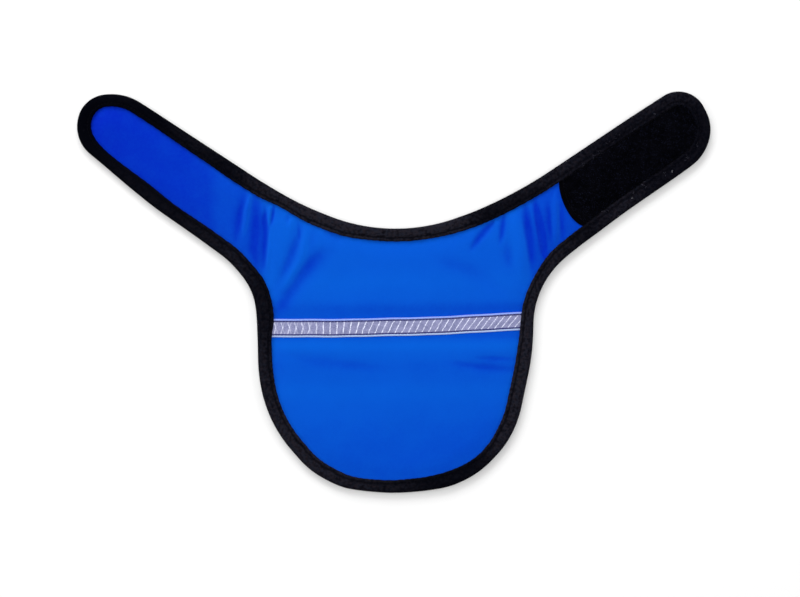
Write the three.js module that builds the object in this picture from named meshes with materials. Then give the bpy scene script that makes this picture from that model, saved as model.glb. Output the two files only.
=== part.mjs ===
// Thyroid shield collar, opened out and lying flat on its back.
// Millimetres, +Z up, +Y towards the neck edge, +X towards the strap with the loop patch.
import * as THREE from "three";

// Plan of the bib and the neck edge
const BIB_WIDTH = 231;
const BIB_DEPTH = 221.5; // from the lowest point of the neck edge to the hem
const NECK_RADIUS = 150; // the middle of the neck edge
const NECK_SIDE_RADIUS = 330; // where the neck edge runs out into the straps
const ARMPIT_RADIUS = 75; // under each strap

// The straight top edges of the two straps would meet at a point below the neck edge.
const STRAPS_MEET_ACROSS = 2.5;
const STRAPS_MEET_DROP = 37;

// Straps, measured from the point where their top edges would meet
const LEFT_STRAP_RISE_DEG = 33.4;
const LEFT_STRAP_LENGTH = 299;
const LEFT_STRAP_WIDTH = 67;
const RIGHT_STRAP_RISE_DEG = 33.8;
const RIGHT_STRAP_LENGTH = 290.5;
const RIGHT_STRAP_WIDTH = 65;

// Layers
const GAP = 0.3; // between any two pieces
const BINDING_WIDTH = 11; // of the binding as it shows on each face
const BINDING_WALL = 1;
const BINDING_ROUND = 0.6; // of the folded edge of the binding
const BACK_WALL = 1;
const FRONT_EDGE_WALL = 1; // the front cover where the binding holds it
const FRONT_CROWN = 0.4; // rise of the front cover towards the middle of the bib
const SAG_START = 1; // past the binding, where the covers begin to settle onto the table
const SAG_RUN = 15; // the distance in which they settle
const HOOK_CLEARANCE = 12; // past the hook patch, where the covers begin to settle again
const FOLD_START = 1; // past the binding, where the folds begin to rise
const FOLD_RUN = 6;

// Trim
const TAPE_WIDTH = 16;
const TAPE_WALL = 0.8;
const TAPE_DROP = 83.6; // from the lowest point of the neck edge to the middle of the tape's left end
const TAPE_RISE = 6; // of its right end over its left end
const LOOP_PATCH_LENGTH = 143; // from the strap's end to the patch's round inner end
const LOOP_PATCH_WALL = 1.6;
const HOOK_PATCH_LENGTH = 110;
const HOOK_PATCH_WALL = 1;
const PATCH_END_BULGE = 6;

// Levels from the table up, where the binding holds the covers
const BACK_EDGE_Z = Math.max(BINDING_WALL, HOOK_PATCH_WALL) + GAP;
const FRONT_EDGE_Z = BACK_EDGE_Z + BACK_WALL + GAP;
const FRONT_TOP_Z = FRONT_EDGE_Z + FRONT_EDGE_WALL;
const LIP_Z = FRONT_TOP_Z + GAP;
const BINDING_TOP_Z = LIP_Z + BINDING_WALL;
const COVER_INSET = BINDING_WALL + GAP;
const TRIM_INSET = BINDING_WIDTH + GAP;

// Corners of the straps, from the neck edge round the end to the armpit. along is a share of the strap's
// length, across and round are shares of its width. The root row only gives the lower edge its direction.
const LEFT_STRAP_CORNERS = [
  { name: "left_top", along: 0.917, across: 0, round: 0.64 },
  { name: "left_tip", along: 1, across: 0.28, round: 0.39 },
  { name: "left_end", along: 0.98, across: 0.85, round: 0.45 },
  { name: "left_bend", along: 0.665, across: 1, round: 4.5 },
];
const LEFT_ROOT = { along: 0.47, across: 1.03 };
const RIGHT_STRAP_CORNERS = [
  { name: "right_top", along: 0.95, across: 0, round: 0.34 },
  { name: "right_tip", along: 1, across: 0.23, round: 0.37 },
  { name: "right_end", along: 0.981, across: 0.94, round: 0.52 },
];
const RIGHT_ROOT = { along: 0.48, across: 1.01 };

// Corners of the bib from the right armpit round the hem. across is a share of half the bib's width, down
// of its depth, round of its width.
const BIB_CORNERS = [
  { name: "bib_right", across: 0.988, down: 0.475, round: 0.87 },
  { name: "low_right", across: 0.87, down: 0.775, round: 0.35 },
  { name: "hem_right", across: 0.53, down: 0.96, round: 0.35 },
  { name: "hem_middle", across: 0.02, down: 1.01, round: 0.7 },
  { name: "hem_left", across: -0.55, down: 0.96, round: 0.32 },
  { name: "low_left", across: -0.95, down: 0.72, round: 0.48 },
  { name: "bib_left", across: -0.993, down: 0.53, round: 0.65 },
];
// Where the neck edge's corners lie: along is a share of the strap's length, the middle corner's across is
// a share of the bib's width and its down a share of STRAPS_MEET_DROP.
const NECK_SIDE_ALONG = 0.375;
const NECK_MIDDLE = { across: -0.015, down: 0.26 };

// Folds of the front cover. across is a share of half the bib's width and down of its depth, from the
// lowest point of the neck edge; width is a share of the bib's width; rise is in wall thicknesses.
const FOLDS = [
  { across: -1.05, down: -0.13, toAcross: -1.12, toDown: 0.05, width: 0.02, rise: 1 },
  { across: -1.0, down: -0.11, toAcross: -1.04, toDown: 0.06, width: 0.018, rise: -0.8 },
  { across: -0.83, down: -0.05, toAcross: -0.84, toDown: 0.16, width: 0.04, rise: 0.9 },
  { across: -0.72, down: -0.03, toAcross: -0.77, toDown: 0.16, width: 0.022, rise: -0.7 },
  { across: -0.55, down: 0.09, toAcross: -0.85, toDown: 0.29, width: 0.022, rise: -0.5 },
  { across: 1.15, down: -0.15, toAcross: 1.15, toDown: 0.05, width: 0.02, rise: 0.9 },
  { across: 1.03, down: -0.09, toAcross: 1.07, toDown: 0.09, width: 0.022, rise: -0.8 },
  { across: 0.955, down: -0.08, toAcross: 0.995, toDown: 0.09, width: 0.016, rise: -0.6 },
  { across: 0.87, down: -0.05, toAcross: 0.91, toDown: 0.12, width: 0.035, rise: 0.9 },
  { across: 0.67, down: -0.01, toAcross: 0.57, toDown: 0.06, width: 0.022, rise: -0.5 },
];

// Stations of the covers: which place on the neck edge faces which place on the hem, and in how many
// steps the covers' mesh gets there from the row above.
const STATIONS = [
  { neck: ["left_tip", "middle"], hem: ["left_tip", "middle"], steps: 0 },
  { neck: ["left_top", "end"], hem: ["left_end", "start"], steps: 7 },
  { neck: ["neck_left", "start"], hem: ["left_armpit", "end"], steps: 9 },
  { neck: ["neck_middle", "start"], hem: ["left_armpit", "start"], steps: 17 },
  { neck: ["neck_middle", "middle"], hem: ["hem_middle", "middle"], steps: 9 },
  { neck: ["neck_middle", "end"], hem: ["right_armpit", "end"], steps: 9 },
  { neck: ["neck_right", "end"], hem: ["right_armpit", "start"], steps: 17 },
  { neck: ["right_top", "start"], hem: ["right_end", "end"], steps: 7 },
  { neck: ["right_tip", "middle"], hem: ["right_tip", "middle"], steps: 7 },
];
const TIP_CHORD = 6; // length of the shortest station, across the very end of a strap
// Rows of the covers' mesh, counted in from each edge. share limits a row on a narrow station.
const EDGE_ROWS = [
  { past: 0.2, share: 0.35 },
  { past: 5, share: 0.55 },
  { past: 11, share: 0.75 },
  { past: 17, share: 0.93 },
];
const MIDDLE_ROWS = 3;
const ARC_ERROR = 0.1; // between an arc of the binding and its straight steps
const LONGEST_STEP = 60;
const SHORTEST_PIECE = 0.01; // a shorter line between two arcs gets no step of its own
const TAPE_STEPS = 28;
const PATCH_STEPS = 11;
const PATCH_ROWS = 6;
const PATCH_CROWDING = 1.5; // crowds a patch's steps towards its round end
const PATCH_STATIONS = 3; // a patch ends within this many stations of its strap's tip

const HALVINGS = 22;
const clamp = THREE.MathUtils.clamp;
const lerp = THREE.MathUtils.lerp;
const smooth = (value) => THREE.MathUtils.smoothstep(value, 0, 1);

// The corners, in a plan whose zero is the lowest point of the neck edge on the bib's middle line

function strap(side, riseDeg, length, width) {
  const rise = THREE.MathUtils.degToRad(riseDeg);
  const outward = new THREE.Vector2(side * Math.cos(rise), Math.sin(rise));
  const downward = new THREE.Vector2(side * Math.sin(rise), -Math.cos(rise));
  const meet = new THREE.Vector2(STRAPS_MEET_ACROSS, -STRAPS_MEET_DROP);
  const point = (along, across) =>
    meet
      .clone()
      .addScaledVector(outward, along * length)
      .addScaledVector(downward, across * width);
  return { side, width, point };
}

function strapCorners(made, rows) {
  return rows.map((row) => ({
    name: row.name,
    point: made.point(row.along, row.across),
    round: row.round * made.width,
  }));
}

// The armpit is where the strap's lower edge, through its last corner and its root, meets the bib's side.
function armpit(name, made, lastRow, root) {
  const last = made.point(lastRow.along, lastRow.across);
  const rootPoint = made.point(root.along, root.across);
  const across = (made.side * BIB_WIDTH) / 2;
  const share = (across - last.x) / (rootPoint.x - last.x);
  return { name, point: new THREE.Vector2(across, lerp(last.y, rootPoint.y, share)), round: ARMPIT_RADIUS };
}

function collarCorners() {
  const left = strap(-1, LEFT_STRAP_RISE_DEG, LEFT_STRAP_LENGTH, LEFT_STRAP_WIDTH);
  const right = strap(1, RIGHT_STRAP_RISE_DEG, RIGHT_STRAP_LENGTH, RIGHT_STRAP_WIDTH);
  const [leftTop, leftTip, leftEnd, leftBend] = strapCorners(left, LEFT_STRAP_CORNERS);
  const neckMiddle = new THREE.Vector2(NECK_MIDDLE.across * BIB_WIDTH, -NECK_MIDDLE.down * STRAPS_MEET_DROP);
  const bib = BIB_CORNERS.map((row) => ({
    name: row.name,
    point: new THREE.Vector2((row.across * BIB_WIDTH) / 2, -row.down * BIB_DEPTH),
    round: row.round * BIB_WIDTH,
  }));
  return [
    leftTip,
    leftTop,
    { name: "neck_left", point: left.point(NECK_SIDE_ALONG, 0), round: NECK_SIDE_RADIUS },
    { name: "neck_middle", point: neckMiddle, round: NECK_RADIUS },
    { name: "neck_right", point: right.point(NECK_SIDE_ALONG, 0), round: NECK_SIDE_RADIUS },
    ...strapCorners(right, RIGHT_STRAP_CORNERS),
    armpit("right_armpit", right, RIGHT_STRAP_CORNERS.at(-1), RIGHT_ROOT),
    ...bib,
    armpit("left_armpit", left, LEFT_STRAP_CORNERS.at(-1), LEFT_ROOT),
    leftBend,
    leftEnd,
  ];
}

// A closed path of straight lines and arcs, clockwise seen from above, with its corners rounded.
// marks gives the distance along the path of each rounding's start, middle and end.
function roundedPath(corners) {
  const count = corners.length;
  const before = (i) => (i + count - 1) % count;
  const after = (i) => (i + 1) % count;
  const runs = corners.map((corner, i) => corners[after(i)].point.clone().sub(corner.point));
  const lengths = runs.map((run) => run.length());
  const headings = runs.map((run) => run.clone().normalize());
  const turns = corners.map((corner, i) =>
    Math.atan2(headings[before(i)].cross(headings[i]), headings[before(i)].dot(headings[i])),
  );
  // A rounding is limited by the straight edges that it shares with its neighbours.
  const wanted = corners.map((corner, i) => corner.round * Math.tan(Math.abs(turns[i]) / 2));
  const room = lengths.map((length, i) => Math.min(1, length / (wanted[i] + wanted[after(i)])));
  const reach = wanted.map((want, i) => want * Math.min(room[i], room[before(i)]));

  const pieces = [];
  const marks = {};
  let length = 0;
  corners.forEach((corner, i) => {
    const radius = reach[i] / Math.tan(Math.abs(turns[i]) / 2);
    const start = corner.point.clone().addScaledVector(headings[before(i)], -reach[i]);
    const side = Math.sign(turns[i]);
    const heading = headings[before(i)].angle();
    const toStart = heading - (side * Math.PI) / 2;
    const centre = new THREE.Vector2(
      start.x - radius * Math.cos(toStart),
      start.y - radius * Math.sin(toStart),
    );
    const arcLength = radius * Math.abs(turns[i]);
    marks[corner.name] = { start: length, middle: length + arcLength / 2, end: length + arcLength };
    pieces.push({ kind: "arc", from: length, length: arcLength, centre, radius, side, toStart });
    length += arcLength;
    const lineStart = corner.point.clone().addScaledVector(headings[i], reach[i]);
    const lineLength = Math.max(0, lengths[i] - reach[i] - reach[after(i)]);
    pieces.push({ kind: "line", from: length, length: lineLength, start: lineStart, heading: headings[i] });
    length += lineLength;
  });

  // A point of the path and the direction into the shape there
  function at(distance) {
    const wrapped = ((distance % length) + length) % length;
    const piece = pieces.findLast((candidate) => candidate.from <= wrapped);
    const gone = wrapped - piece.from;
    if (piece.kind === "line") {
      const point = piece.start.clone().addScaledVector(piece.heading, gone);
      return { point, inward: new THREE.Vector2(piece.heading.y, -piece.heading.x) };
    }
    const angle = piece.toStart + (piece.side * gone) / piece.radius;
    const out = new THREE.Vector2(Math.cos(angle), Math.sin(angle));
    const point = piece.centre.clone().addScaledVector(out, piece.radius);
    return { point, inward: out.multiplyScalar(piece.side) };
  }

  // Distances along the path that follow its arcs closely and its lines loosely
  const steps = pieces.flatMap((piece) => {
    const longest = piece.kind === "arc" ? Math.sqrt(8 * piece.radius * ARC_ERROR) : LONGEST_STEP;
    const number = Math.ceil((piece.length - SHORTEST_PIECE) / longest);
    return Array.from({ length: Math.max(0, number) }, (_, k) => piece.from + (piece.length * k) / number);
  });
  return { length, marks, at, steps };
}

// The plan is moved so that the middle of its box lies on the origin.
function centredPath() {
  const corners = collarCorners();
  const plan = roundedPath(corners);
  const box = new THREE.Box2().setFromPoints(plan.steps.map((distance) => plan.at(distance).point));
  const middle = box.getCenter(new THREE.Vector2());
  corners.forEach((corner) => corner.point.sub(middle));
  return { path: roundedPath(corners), neckLow: middle.clone().negate() };
}

const { path, neckLow } = centredPath();
const edge = path.steps.map((distance) => path.at(distance).point);

// Distance from a point to the collar's edge
function depthAt(x, y) {
  let nearest = Infinity;
  edge.forEach((start, i) => {
    const end = edge[(i + 1) % edge.length];
    const run = { x: end.x - start.x, y: end.y - start.y };
    const share = clamp(
      ((x - start.x) * run.x + (y - start.y) * run.y) / (run.x * run.x + run.y * run.y),
      0,
      1,
    );
    nearest = Math.min(nearest, Math.hypot(x - start.x - share * run.x, y - start.y - share * run.y));
  });
  return nearest;
}

// Heights of the covers

const planPoint = (across, down) => ({
  x: neckLow.x + (across * BIB_WIDTH) / 2,
  y: neckLow.y - down * BIB_DEPTH,
});

const folds = FOLDS.map((row) => ({
  start: planPoint(row.across, row.down),
  end: planPoint(row.toAcross, row.toDown),
  width: row.width * BIB_WIDTH,
  rise: row.rise * FRONT_EDGE_WALL,
}));

function foldRise(x, y) {
  return folds.reduce((sum, fold) => {
    const run = { x: fold.end.x - fold.start.x, y: fold.end.y - fold.start.y };
    const length = Math.hypot(run.x, run.y);
    const along = ((x - fold.start.x) * run.x + (y - fold.start.y) * run.y) / (length * length);
    const off = Math.abs((x - fold.start.x) * run.y - (y - fold.start.y) * run.x) / length;
    if (along <= 0 || along >= 1 || off >= fold.width) return sum;
    return sum + fold.rise * Math.sin(Math.PI * along) * Math.cos(((off / fold.width) * Math.PI) / 2) ** 2;
  }, 0);
}

// The covers stay up on the hook patch and settle onto the table everywhere else.
const tip = path.at(path.marks.left_tip.middle).point;
const leftRise = THREE.MathUtils.degToRad(LEFT_STRAP_RISE_DEG);
const behindLeftTip = (x, y) => (x - tip.x) * Math.cos(leftRise) - (y - tip.y) * Math.sin(leftRise);

function settled(x, y, depth) {
  const fromEdge = smooth((depth - BINDING_WIDTH - SAG_START) / SAG_RUN);
  const fromHooks = smooth((behindLeftTip(x, y) - HOOK_PATCH_LENGTH - HOOK_CLEARANCE) / SAG_RUN);
  return fromEdge * fromHooks;
}

const backBottom = (x, y, depth) => BACK_EDGE_Z * (1 - settled(x, y, depth));
const backTop = (x, y, depth) => backBottom(x, y, depth) + BACK_WALL;
const frontBottom = (x, y, depth) => backTop(x, y, depth) + GAP;

function frontTop(x, y, depth) {
  const crown = FRONT_CROWN * smooth((depth - BINDING_WIDTH - SAG_START) / SAG_RUN);
  const fold = foldRise(x, y) * smooth((depth - BINDING_WIDTH - FOLD_START) / FOLD_RUN);
  return FRONT_TOP_Z + crown + fold;
}

// Meshes

function solidMesh(name, positions, faces, material) {
  const geometry = new THREE.BufferGeometry();
  geometry.setAttribute("position", new THREE.Float32BufferAttribute(positions.flat(), 3));
  geometry.setIndex(faces.flat());
  geometry.computeVertexNormals();
  const mesh = new THREE.Mesh(geometry, material);
  mesh.name = name;
  return mesh;
}

// A closed sheet over a grid of plan points. The rows run clockwise round the collar, and the points of a
// row from the neck edge to the hem.
function sheet(name, grid, bottom, top, material) {
  const rows = grid.length;
  const columns = grid[0].length;
  const points = grid.flat().map(({ x, y }) => ({ x, y, depth: depthAt(x, y) }));
  const layer = (height) => points.map(({ x, y, depth }) => [x, y, height(x, y, depth)]);
  const positions = [...layer(top), ...layer(bottom)];
  const under = rows * columns;
  const index = (i, j) => i * columns + j;
  const faces = [];
  for (let i = 0; i + 1 < rows; i += 1) {
    for (let j = 0; j + 1 < columns; j += 1) {
      const [a, b, c, d] = [index(i, j), index(i, j + 1), index(i + 1, j + 1), index(i + 1, j)];
      faces.push([a, b, c], [a, c, d]);
      faces.push([a + under, c + under, b + under], [a + under, d + under, c + under]);
    }
  }
  const rim = [];
  for (let j = 0; j + 1 < columns; j += 1) rim.push(index(0, j));
  for (let i = 0; i + 1 < rows; i += 1) rim.push(index(i, columns - 1));
  for (let j = columns - 1; j > 0; j -= 1) rim.push(index(rows - 1, j));
  for (let i = rows - 1; i > 0; i -= 1) rim.push(index(i, 0));
  rim.forEach((here, k) => {
    const next = rim[(k + 1) % rim.length];
    faces.push([here, here + under, next + under], [here, next + under, next]);
  });
  return solidMesh(name, positions, faces, material);
}

// The two ends of a station, one on the neck edge and one on the hem, moved in from the collar's edge. The
// place is counted in rows of STATIONS. The path runs from the left tip along the neck edge to the right
// tip, and back along the hem.
const lastRow = STATIONS.length - 1;
const markOf = ([corner, part]) => path.marks[corner][part];
const neckStops = STATIONS.map((row) => markOf(row.neck));
const hemStops = STATIONS.map((row, i) => markOf(row.hem) + (i === 0 ? path.length : 0));

function chordAt(place, inset) {
  const row = clamp(Math.floor(place), 0, lastRow - 1);
  const neckDistance = lerp(neckStops[row], neckStops[row + 1], place - row);
  const hemDistance = lerp(hemStops[row], hemStops[row + 1], place - row);
  const short = TIP_CHORD / 2;
  const neck = path.at(clamp(neckDistance, neckStops[0] + short, neckStops[lastRow] - short));
  const hem = path.at(clamp(hemDistance, hemStops[lastRow] + short, hemStops[0] - short));
  return {
    neck: neck.point.addScaledVector(neck.inward, inset),
    hem: hem.point.addScaledVector(hem.inward, inset),
  };
}

const between = (a, b, share) => ({ x: lerp(a.x, b.x, share), y: lerp(a.y, b.y, share) });

// The share of a chord at which the depth first reaches a value, coming from its start
function shareAtDepth(from, to, depth) {
  let low = 0;
  let high = 0.5;
  for (let k = 0; k < HALVINGS; k += 1) {
    const share = (low + high) / 2;
    const point = between(from, to, share);
    if (depthAt(point.x, point.y) < depth) low = share;
    else high = share;
  }
  return high;
}

function coverRow(place) {
  const { neck, hem } = chordAt(place, COVER_INSET);
  const centre = between(neck, hem, 0.5);
  const deepest = depthAt(centre.x, centre.y);
  const targets = EDGE_ROWS.map((row) => {
    const wanted = TRIM_INSET + row.past;
    return Math.min(wanted, lerp(COVER_INSET, deepest, row.share));
  });
  const fromNeck = targets.map((target) => shareAtDepth(neck, hem, target));
  const fromHem = targets.map((target) => 1 - shareAtDepth(hem, neck, target)).reverse();
  const middle = [];
  for (let k = 1; k < MIDDLE_ROWS; k += 1) {
    middle.push(lerp(fromNeck.at(-1), fromHem[0], k / MIDDLE_ROWS));
  }
  return [0, ...fromNeck, ...middle, ...fromHem, 1].map((share) => between(neck, hem, share));
}

const places = [0];
STATIONS.forEach((row, i) => {
  for (let k = 1; k <= row.steps; k += 1) places.push(i - 1 + k / row.steps);
});
const coverGrid = places.map(coverRow);

// The binding: a U in section, folded round the edge and closed on itself
function binding(material) {
  const profile = [
    [BINDING_WIDTH, 0],
    [BINDING_ROUND, 0],
    [0, BINDING_ROUND],
    [0, BINDING_TOP_Z - BINDING_ROUND],
    [BINDING_ROUND, BINDING_TOP_Z],
    [BINDING_WIDTH, BINDING_TOP_Z],
    [BINDING_WIDTH, LIP_Z],
    [BINDING_WALL, LIP_Z],
    [BINDING_WALL, BINDING_WALL],
    [BINDING_WIDTH, BINDING_WALL],
  ];
  const sides = profile.length;
  const positions = path.steps.flatMap((distance) => {
    const { point, inward } = path.at(distance);
    return profile.map(([inset, z]) => [point.x + inward.x * inset, point.y + inward.y * inset, z]);
  });
  const faces = [];
  path.steps.forEach((_, i) => {
    const next = (i + 1) % path.steps.length;
    for (let j = 0; j < sides; j += 1) {
      const k = (j + 1) % sides;
      const [a, b, c, d] = [i * sides + j, i * sides + k, next * sides + k, next * sides + j];
      faces.push([a, b, c], [a, c, d]);
    }
  });
  return solidMesh("edge_binding", positions, faces, material);
}

// How far the trim may reach from the bib's middle line at a given height, up to the binding
function reachAt(y, side) {
  let low = 0;
  let high = BIB_WIDTH / 2;
  for (let k = 0; k < HALVINGS; k += 1) {
    const out = (low + high) / 2;
    if (depthAt(neckLow.x + side * out, y) > TRIM_INSET) low = out;
    else high = out;
  }
  return neckLow.x + side * low;
}

function tape(material) {
  const grid = [];
  for (let i = 0; i <= TAPE_STEPS; i += 1) {
    const share = i / TAPE_STEPS;
    const middle = neckLow.y - TAPE_DROP + TAPE_RISE * share ** 3;
    const row = [1, 0, -1].map((part) => {
      const y = middle + (part * TAPE_WIDTH) / 2;
      return { x: lerp(reachAt(y, -1), reachAt(y, 1), share), y };
    });
    grid.push(row);
  }
  const bottom = (x, y, depth) => frontTop(x, y, depth) + GAP;
  const top = (x, y, depth) => bottom(x, y, depth) + TAPE_WALL;
  return sheet("reflective_tape", grid, bottom, top, material);
}

// The place, in rows of STATIONS, where a patch of a given length ends on a strap
function patchPlace(endRow, tipRow, length) {
  const tipPoint = between(...Object.values(chordAt(tipRow, TRIM_INSET)), 0.5);
  let low = 0;
  let high = 1;
  for (let k = 0; k < HALVINGS; k += 1) {
    const share = (low + high) / 2;
    const chord = chordAt(lerp(tipRow, endRow, share), TRIM_INSET);
    const point = between(chord.neck, chord.hem, 0.5);
    if (Math.hypot(point.x - tipPoint.x, point.y - tipPoint.y) < length) low = share;
    else high = share;
  }
  return lerp(tipRow, endRow, high);
}

// A patch that fills a strap's end inside the binding and has a round inner end
function patchGrid(tipRow, endRow, length) {
  const straight = patchPlace(endRow, tipRow, length - PATCH_END_BULGE - BINDING_WIDTH);
  const round = patchPlace(endRow, tipRow, length - BINDING_WIDTH);
  const grid = [];
  for (let i = 0; i <= PATCH_STEPS; i += 1) {
    const row = [];
    for (let j = 0; j <= PATCH_ROWS; j += 1) {
      const across = j / PATCH_ROWS;
      const end = lerp(straight, round, 4 * across * (1 - across));
      const chord = chordAt(lerp(tipRow, end, (i / PATCH_STEPS) ** PATCH_CROWDING), TRIM_INSET);
      row.push(between(chord.neck, chord.hem, across));
    }
    grid.push(row);
  }
  return endRow > tipRow ? grid : grid.reverse();
}

const loopGrid = patchGrid(lastRow, lastRow - PATCH_STATIONS, LOOP_PATCH_LENGTH);
const hookGrid = patchGrid(0, PATCH_STATIONS, HOOK_PATCH_LENGTH);

// Materials
const fabric = (color, roughness) => new THREE.MeshStandardMaterial({ color, roughness, metalness: 0 });
const blueNylon = fabric(0x0658d4, 0.62);
const blueBack = fabric(0x0448c0, 0.68);
const blackBinding = fabric(0x15141b, 0.75);
const greyTape = new THREE.MeshStandardMaterial({ color: 0x9a9bc2, roughness: 0.4, metalness: 0.2 });
const blackLoop = fabric(0x08080e, 0.95);
const blackHook = fabric(0x0b0b10, 0.6);

const collar = new THREE.Group();
collar.name = "thyroid_shield_collar";
collar.add(
  sheet("front_cover", coverGrid, frontBottom, frontTop, blueNylon),
  sheet("back_cover", coverGrid, backBottom, backTop, blueBack),
  binding(blackBinding),
  tape(greyTape),
  sheet(
    "loop_patch",
    loopGrid,
    (x, y, depth) => frontTop(x, y, depth) + GAP,
    (x, y, depth) => frontTop(x, y, depth) + GAP + LOOP_PATCH_WALL,
    blackLoop,
  ),
  sheet("hook_patch", hookGrid, () => 0, () => HOOK_PATCH_WALL, blackHook),
);

export default collar;
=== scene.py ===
"""Thyroid shield collar of blue nylon, opened out flat on a pale table.

Metres, +Z up, +Y towards the neck edge, +X towards the strap with the loop patch.
"""

import math

import bpy
import numpy as np
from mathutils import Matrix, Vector
from mathutils.kdtree import KDTree


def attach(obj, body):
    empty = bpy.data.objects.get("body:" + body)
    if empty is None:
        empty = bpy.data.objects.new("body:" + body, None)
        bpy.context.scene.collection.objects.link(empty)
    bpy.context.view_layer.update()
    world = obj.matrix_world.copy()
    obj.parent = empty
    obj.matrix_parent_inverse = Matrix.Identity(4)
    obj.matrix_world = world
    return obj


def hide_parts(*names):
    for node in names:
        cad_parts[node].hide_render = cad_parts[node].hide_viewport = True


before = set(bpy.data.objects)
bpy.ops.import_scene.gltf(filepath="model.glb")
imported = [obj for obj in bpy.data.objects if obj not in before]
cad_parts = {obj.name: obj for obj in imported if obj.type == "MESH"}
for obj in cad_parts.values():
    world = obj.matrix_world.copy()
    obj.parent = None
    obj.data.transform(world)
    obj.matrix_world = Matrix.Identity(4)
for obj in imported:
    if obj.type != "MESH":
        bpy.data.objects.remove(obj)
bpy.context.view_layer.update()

# For the tables in millimetres
MM = 0.001

# Camera, straight above the collar
LENS_MM = 85
SENSOR_MM = 36
VIEW_WIDTH = 0.6692
VIEW_MIDDLE = (0.0052, -0.0053)
FOCUS_HEIGHT = 0.004

# Plan of the bib and the neck edge
BIB_WIDTH = 0.231
BIB_DEPTH = 0.2215
NECK_RADIUS = 0.15
NECK_SIDE_RADIUS = 0.33
ARMPIT_RADIUS = 0.075
STRAPS_MEET_ACROSS = 0.0025
STRAPS_MEET_DROP = 0.037

# The least bend per metre that counts as an arc
LEAST_BEND = 1e-9

# Straps, measured from the point where their top edges would meet
LEFT_RISE = math.radians(33.4)
LEFT_LENGTH = 0.299
LEFT_WIDTH = 0.067
RIGHT_RISE = math.radians(33.8)
RIGHT_LENGTH = 0.2905
RIGHT_WIDTH = 0.065

# Layers
GAP = 0.0003
BINDING_WIDTH = 0.011
BINDING_WALL = 0.001
COVER_WALL = 0.001
COVER_INSET = BINDING_WALL + GAP
BACK_EDGE_Z = BINDING_WALL + GAP
FRONT_EDGE_Z = BACK_EDGE_Z + COVER_WALL + GAP
FRONT_TOP_Z = FRONT_EDGE_Z + COVER_WALL
LIP_Z = FRONT_TOP_Z + GAP
CROWN = 0.0004
LEAST_WALL = 0.0003
SETTLE_START = 0.001
SETTLE_RUN = 0.015
HOOK_PATCH_LENGTH = 0.11
HOOK_CLEARANCE = 0.012

# Trim
LAID_GAP = 0.00004
TAPE_WIDTH = 0.0153
TAPE_WALL = 0.00045
TAPE_DROP = 0.0836
TAPE_RISE = 0.0064
TAPE_BEND = 2.5
TAPE_UNDER_BINDING = 0.0025
LOOP_PATCH_WALL = 0.0011
# The patches' inner ends, by share of the way from the neck side to the hem side: length from the strap's end
LOOP_PATCH_ENDS = ((0, 0.1345), (0.15, 0.1390), (0.45, 0.1432), (0.7, 0.1438), (0.88, 0.1418), (1, 0.1385))
HOOK_PATCH_ENDS = ((0, 0.100), (0.15, 0.1029), (0.5, 0.1055), (0.85, 0.1029), (1, 0.100))
HOOK_PATCH_WALL = 0.0006

# Corners of the straps: name, share of the length, share of the width, rounding in widths
LEFT_CORNERS = (
    ("left_top", 0.917, 0, 0.64), ("left_tip", 1, 0.28, 0.39), ("left_end", 0.98, 0.85, 0.45),
    ("left_bend", 0.665, 1, 4.5),
)
LEFT_ROOT = (0.47, 1.03)
RIGHT_CORNERS = (
    ("right_top", 0.95, 0, 0.34), ("right_tip", 1, 0.23, 0.37), ("right_end", 0.981, 0.94, 0.52),
)
RIGHT_ROOT = (0.48, 1.01)
# Corners of the bib: name, share of half its width, share of its depth, rounding in widths
BIB_CORNERS = (
    ("bib_right", 0.988, 0.475, 0.87), ("low_right", 0.87, 0.775, 0.35), ("hem_right", 0.53, 0.96, 0.35),
    ("hem_middle", 0.02, 1.01, 0.7), ("hem_left", -0.55, 0.96, 0.32), ("low_left", -0.95, 0.72, 0.48),
    ("bib_left", -0.993, 0.53, 0.65),
)
NECK_SIDE_ALONG = 0.375
NECK_MIDDLE = (-0.015, 0.26)

# Where the cut edge wanders out (+) or in (-), in mm, by share of its length from the left tip
EDGE_WANDER = (
    (0.00, 0), (0.02, -0.7), (0.05, 0.1), (0.12, 0.4), (0.15, -0.3), (0.24, -0.4), (0.27, 0.1),
    (0.34, 0), (0.37, -0.6), (0.395, 0.6), (0.418, -0.5), (0.435, 0.3), (0.475, -0.5), (0.50, 0.1),
    (0.52, 1.1), (0.555, 0.9), (0.61, 0.5), (0.64, 1.3), (0.665, 0.9), (0.69, 0.1), (0.705, 0.4),
    (0.722, 1.2), (0.74, 0.1), (0.80, 0), (0.825, 0.4), (0.838, 0.8), (0.856, -0.6), (0.872, 0.2),
    (0.90, -0.2), (0.945, 0.4), (0.97, -0.1), (1.00, 0),
)
# How wide the binding shows, in mm, by share of the edge's length from the left tip
BINDING_SHOWS = (
    (0.00, 11.8), (0.02, 10.5), (0.05, 11), (0.085, 11.9), (0.105, 12.7), (0.12, 12.4), (0.135, 10.5),
    (0.155, 12.2), (0.17, 12.2), (0.19, 10.9), (0.21, 10.9), (0.245, 12.4), (0.28, 12.1), (0.33, 11.6),
    (0.40, 11.8), (0.50, 12), (0.517, 11.9), (0.535, 10.2), (0.552, 10.7), (0.58, 12.7), (0.62, 12.8),
    (0.641, 11.3), (0.666, 12.5), (0.685, 11.4), (0.705, 10.6), (0.717, 10.5), (0.735, 11.7),
    (0.78, 12.1), (0.805, 12.2), (0.827, 11.8), (0.842, 14.6), (0.855, 13.9), (0.87, 12.6),
    (0.892, 12.3), (0.915, 11.7), (0.935, 12.6), (0.966, 10.5), (0.98, 12.2), (1.00, 11.8),
)

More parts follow.
